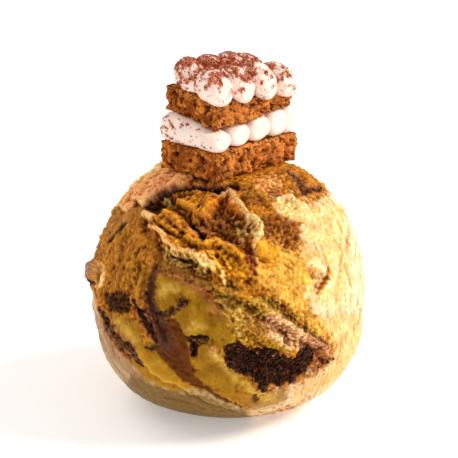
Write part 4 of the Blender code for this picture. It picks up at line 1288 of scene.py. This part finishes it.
def topping_cocoa(places, normals):
    """How densely cocoa lies on the topping: on the tops and backs, less on the fronts."""
    streaks = noise_at(places * np.array([1.0, 0.35, 0.35]), 0.4 * MM, 82)
    patchy = 0.9 * noise_at(places, 1.8 * MM, 81) + 0.8 * streaks
    backwards = smooth_step(-7 * MM, 1 * MM, places[:, 1])
    cover = 0.5 * normals[:, 2] - 0.15 + 0.45 * backwards + 1.1 * patchy
    return 0.95 * smooth_step(-0.1, 0.7, cover)


def filling_cocoa(places, normals):
    """How densely cocoa lies on the filling: a few specks at its left end."""
    patchy = noise_at(places, 1.0 * MM, 83) + 0.8 * noise_at(places, 0.5 * MM, 84)
    patchy += 0.3 * smooth_step(0, 6 * MM, places[:, 1])
    left_end = 1 - smooth_step(-14 * MM, -12.5 * MM, places[:, 0])
    return 0.8 * left_end * smooth_step(0.45, 0.65, patchy)


def streaked(shapes, normals, yaw):
    """What draws the shapes out along the ropes, over the surface that they lie on."""
    run = np.array([-math.sin(yaw), math.cos(yaw), 0.4])
    along = run - (normals @ run)[:, None] * normals
    along /= np.maximum(np.linalg.norm(along, axis=1), LEAST_ALONG)[:, None]
    reach = np.einsum("ijk,ik->ij", shapes, along)
    return COCOA_STRETCH * reach[..., None] * along[:, None]


def scatter(name, data, weights, material, slot, count, sizes, flatness, tints, seed, yaw=None):
    """Small pieces of uneven shape laid on a mesh where the weights of its points are high."""
    rng = np.random.default_rng(seed)
    places, normals = places_of(data), normals_of(data)
    picked = rng.choice(len(places), size=count, p=weights / weights.sum())
    size = rng.uniform(*sizes, count)
    shapes = CRUMB_SHAPE[None] * rng.uniform(*CRUMB_REACHES, (count, 6, 1))
    turn = rng.normal(size=(count, 3, 3))
    axes, _ = np.linalg.qr(turn)
    shapes = shapes @ axes
    lift = np.einsum("ijk,ik->ij", shapes, normals[picked])
    shapes -= (1 - flatness) * lift[..., None] * normals[picked][:, None]
    if yaw is not None:
        shapes += streaked(shapes, normals[picked], yaw)
    shapes = shapes * size[:, None, None] / 2
    centres = places[picked] + rng.uniform(-CRUMB_SHIFT, CRUMB_SHIFT, (count, 3))
    centres += normals[picked] * (size * flatness * CRUMB_LIFT)[:, None]
    points = (shapes + centres[:, None]).reshape(-1, 3)
    faces = (CRUMB_FACES[None] + 6 * np.arange(count)[:, None, None]).reshape(-1, 3)
    made = bpy.data.meshes.new(name)
    made.from_pydata(points.tolist(), [], faces.tolist())
    first, second = colour(tints[0]), colour(tints[1])
    mix = rng.uniform(0, 1, count)[:, None] ** 2
    put_paint(made, np.repeat(first + (second - first) * mix, 6, axis=0))
    return add_piece(name, made, material, slot)


def add_sun(name, towards, strength, spread, tint):
    """A soft light from far away that shines along a direction."""
    data = bpy.data.lights.new(name, "SUN")
    data.energy = strength
    data.angle = spread
    data.color = tint
    obj = bpy.data.objects.new(name, data)
    obj.rotation_euler = Vector(towards).to_track_quat("-Z", "Y").to_euler()
    bpy.context.scene.collection.objects.link(obj)


def make_surroundings(scene):
    """Even light from all round, in front of a pale background."""
    world = bpy.data.worlds.new("surroundings")
    world.use_nodes = True
    tree = world.node_tree
    light = tree.nodes["Background"]
    light.inputs["Color"].default_value = SKY_TINT
    light.inputs["Strength"].default_value = AMBIENT
    shown = add_node(tree, "ShaderNodeBackground", Color=(1.0, 1.0, 1.0, 1.0),
                     Strength=BACKGROUND)
    path = tree.nodes.new("ShaderNodeLightPath")
    either = tree.nodes.new("ShaderNodeMixShader")
    tree.links.new(path.outputs["Is Camera Ray"], either.inputs[0])
    tree.links.new(light.outputs[0], either.inputs[1])
    tree.links.new(shown.outputs[0], either.inputs[2])
    tree.links.new(either.outputs[0], tree.nodes["World Output"].inputs["Surface"])
    scene.world = world


def make_floor(scene):
    """The pale floor under the scoop."""
    reach = FLOOR_REACH
    data = bpy.data.meshes.new("floor")
    data.from_pydata([(-reach, -reach, 0), (reach, -reach, 0), (reach, reach, 0),
                      (-reach, reach, 0)], [], [(0, 1, 2, 3)])
    floor = bpy.data.objects.new("floor", data)
    scene.collection.objects.link(floor)
    material = bpy.data.materials.new("floor")
    material.use_nodes = True
    shader = material.node_tree.nodes["Principled BSDF"]
    shader.inputs["Base Color"].default_value = (0.92, 0.92, 0.92, 1.0)
    shader.inputs["Roughness"].default_value = FLOOR_ROUGHNESS
    shader.inputs["Emission Color"].default_value = SKY_TINT
    shader.inputs["Emission Strength"].default_value = FLOOR_GLOW
    data.materials.append(material)


def make_stage():
    """The floor, the lights, the pale surroundings and the camera."""
    scene = bpy.context.scene
    make_floor(scene)
    make_surroundings(scene)
    add_sun("key", KEY_TOWARDS, KEY_STRENGTH, KEY_SPREAD, KEY_TINT)
    add_sun("rim", RIM_TOWARDS, RIM_STRENGTH, RIM_SPREAD, RIM_TINT)

    lens = bpy.data.cameras.new("eye")
    lens.lens = LENS
    lens.sensor_width = SENSOR
    lens.clip_start = 0.01
    camera = bpy.data.objects.new("eye", lens)
    camera.location = EYE + np.array([0.0, 0.0, BALL_HEIGHT])
    camera.rotation_euler = (math.pi / 2 - EYE_TILT, 0.0, 0.0)
    scene.collection.objects.link(camera)
    scene.camera = camera
    scene.view_settings.view_transform = "Standard"


def main():
    gelato = food_material("gelato", 0.4, 0.05, 0.12, (1.0, 0.5, 0.12), 0.45 * MM, 0.38 * MM, 0.7,
                           "coffee_and_shade")
    sponge = food_material("coffee_sponge", 0.65, 0.08, 0.0, (1.0, 0.5, 0.2), 0.6 * MM, 0.3 * MM,
                           0.6, "sponge_pore_shade")
    cream = food_material("mascarpone_cream", 0.4, 0.3, 0.4, (1.0, 0.55, 0.4), 1.2 * MM, 0.03 * MM,
                          0.02)
    chocolate = food_material("chocolate", 0.5, 0.12, 0.0, (1.0, 0.5, 0.2), 0.2 * MM, 0.04 * MM,
                              0.25)
    cocoa = food_material("cocoa", 0.85, 0.03, 0.0, (1.0, 0.5, 0.2), 0.2 * MM, 0.04 * MM, 0.25)

    ball, dark = make_scoop(gelato)
    make_sponge("sponge_lower_slab", "sponge_lower", LOWER_LONG, LOWER_SHORT, lower_faces,
                LOWER_SEED, LOWER_SPOT, LOWER_YAW, sponge)
    make_sponge("sponge_upper_slab", "sponge_upper", UPPER_LONG, UPPER_SHORT, upper_faces,
                UPPER_SEED, UPPER_SPOT, UPPER_YAW, sponge)
    ropes = list(map(filling_rope, FILLING_CENTRES, FILLING_REACHES))
    filling_spot = LOWER_SPOT + Vector((0, 0, LOWER_THICK))
    filling, filling_dust = make_cream("cream_lower_ropes", "cream_lower", ropes, filling_spot,
                                       LOWER_YAW, filling_cocoa, cream)
    ropes = list(map(topping_rope, TOPPING_CENTRES, TOPPING_REACHES, TOPPING_HEIGHTS,
                     TOPPING_LEANS))
    topping, topping_dust = make_cream("cream_upper_ropes", "cream_upper", ropes, UPPER_SPOT,
                                       UPPER_YAW, topping_cocoa, cream)
    weights = np.where(dark > LEAST_CHOCOLATE, dark ** 2, 0)
    scatter("chocolate_crumbs", ball, weights, chocolate, "gelato", **CHOCOLATE_CRUMBS)
    scatter("topping_cocoa", topping, topping_dust ** 2 + STRAY_TOPPING_COCOA, cocoa,
            "coffee_sponge", **TOPPING_COCOA)
    scatter("filling_cocoa", filling, filling_dust + STRAY_FILLING_COCOA, cocoa, "coffee_sponge",
            **FILLING_COCOA)
    make_stage()


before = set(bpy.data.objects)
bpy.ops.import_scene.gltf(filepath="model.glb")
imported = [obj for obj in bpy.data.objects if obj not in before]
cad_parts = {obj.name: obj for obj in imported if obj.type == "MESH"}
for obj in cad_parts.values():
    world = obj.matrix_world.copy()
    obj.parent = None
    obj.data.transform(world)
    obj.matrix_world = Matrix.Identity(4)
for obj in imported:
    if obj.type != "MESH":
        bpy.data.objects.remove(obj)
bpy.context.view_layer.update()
main()
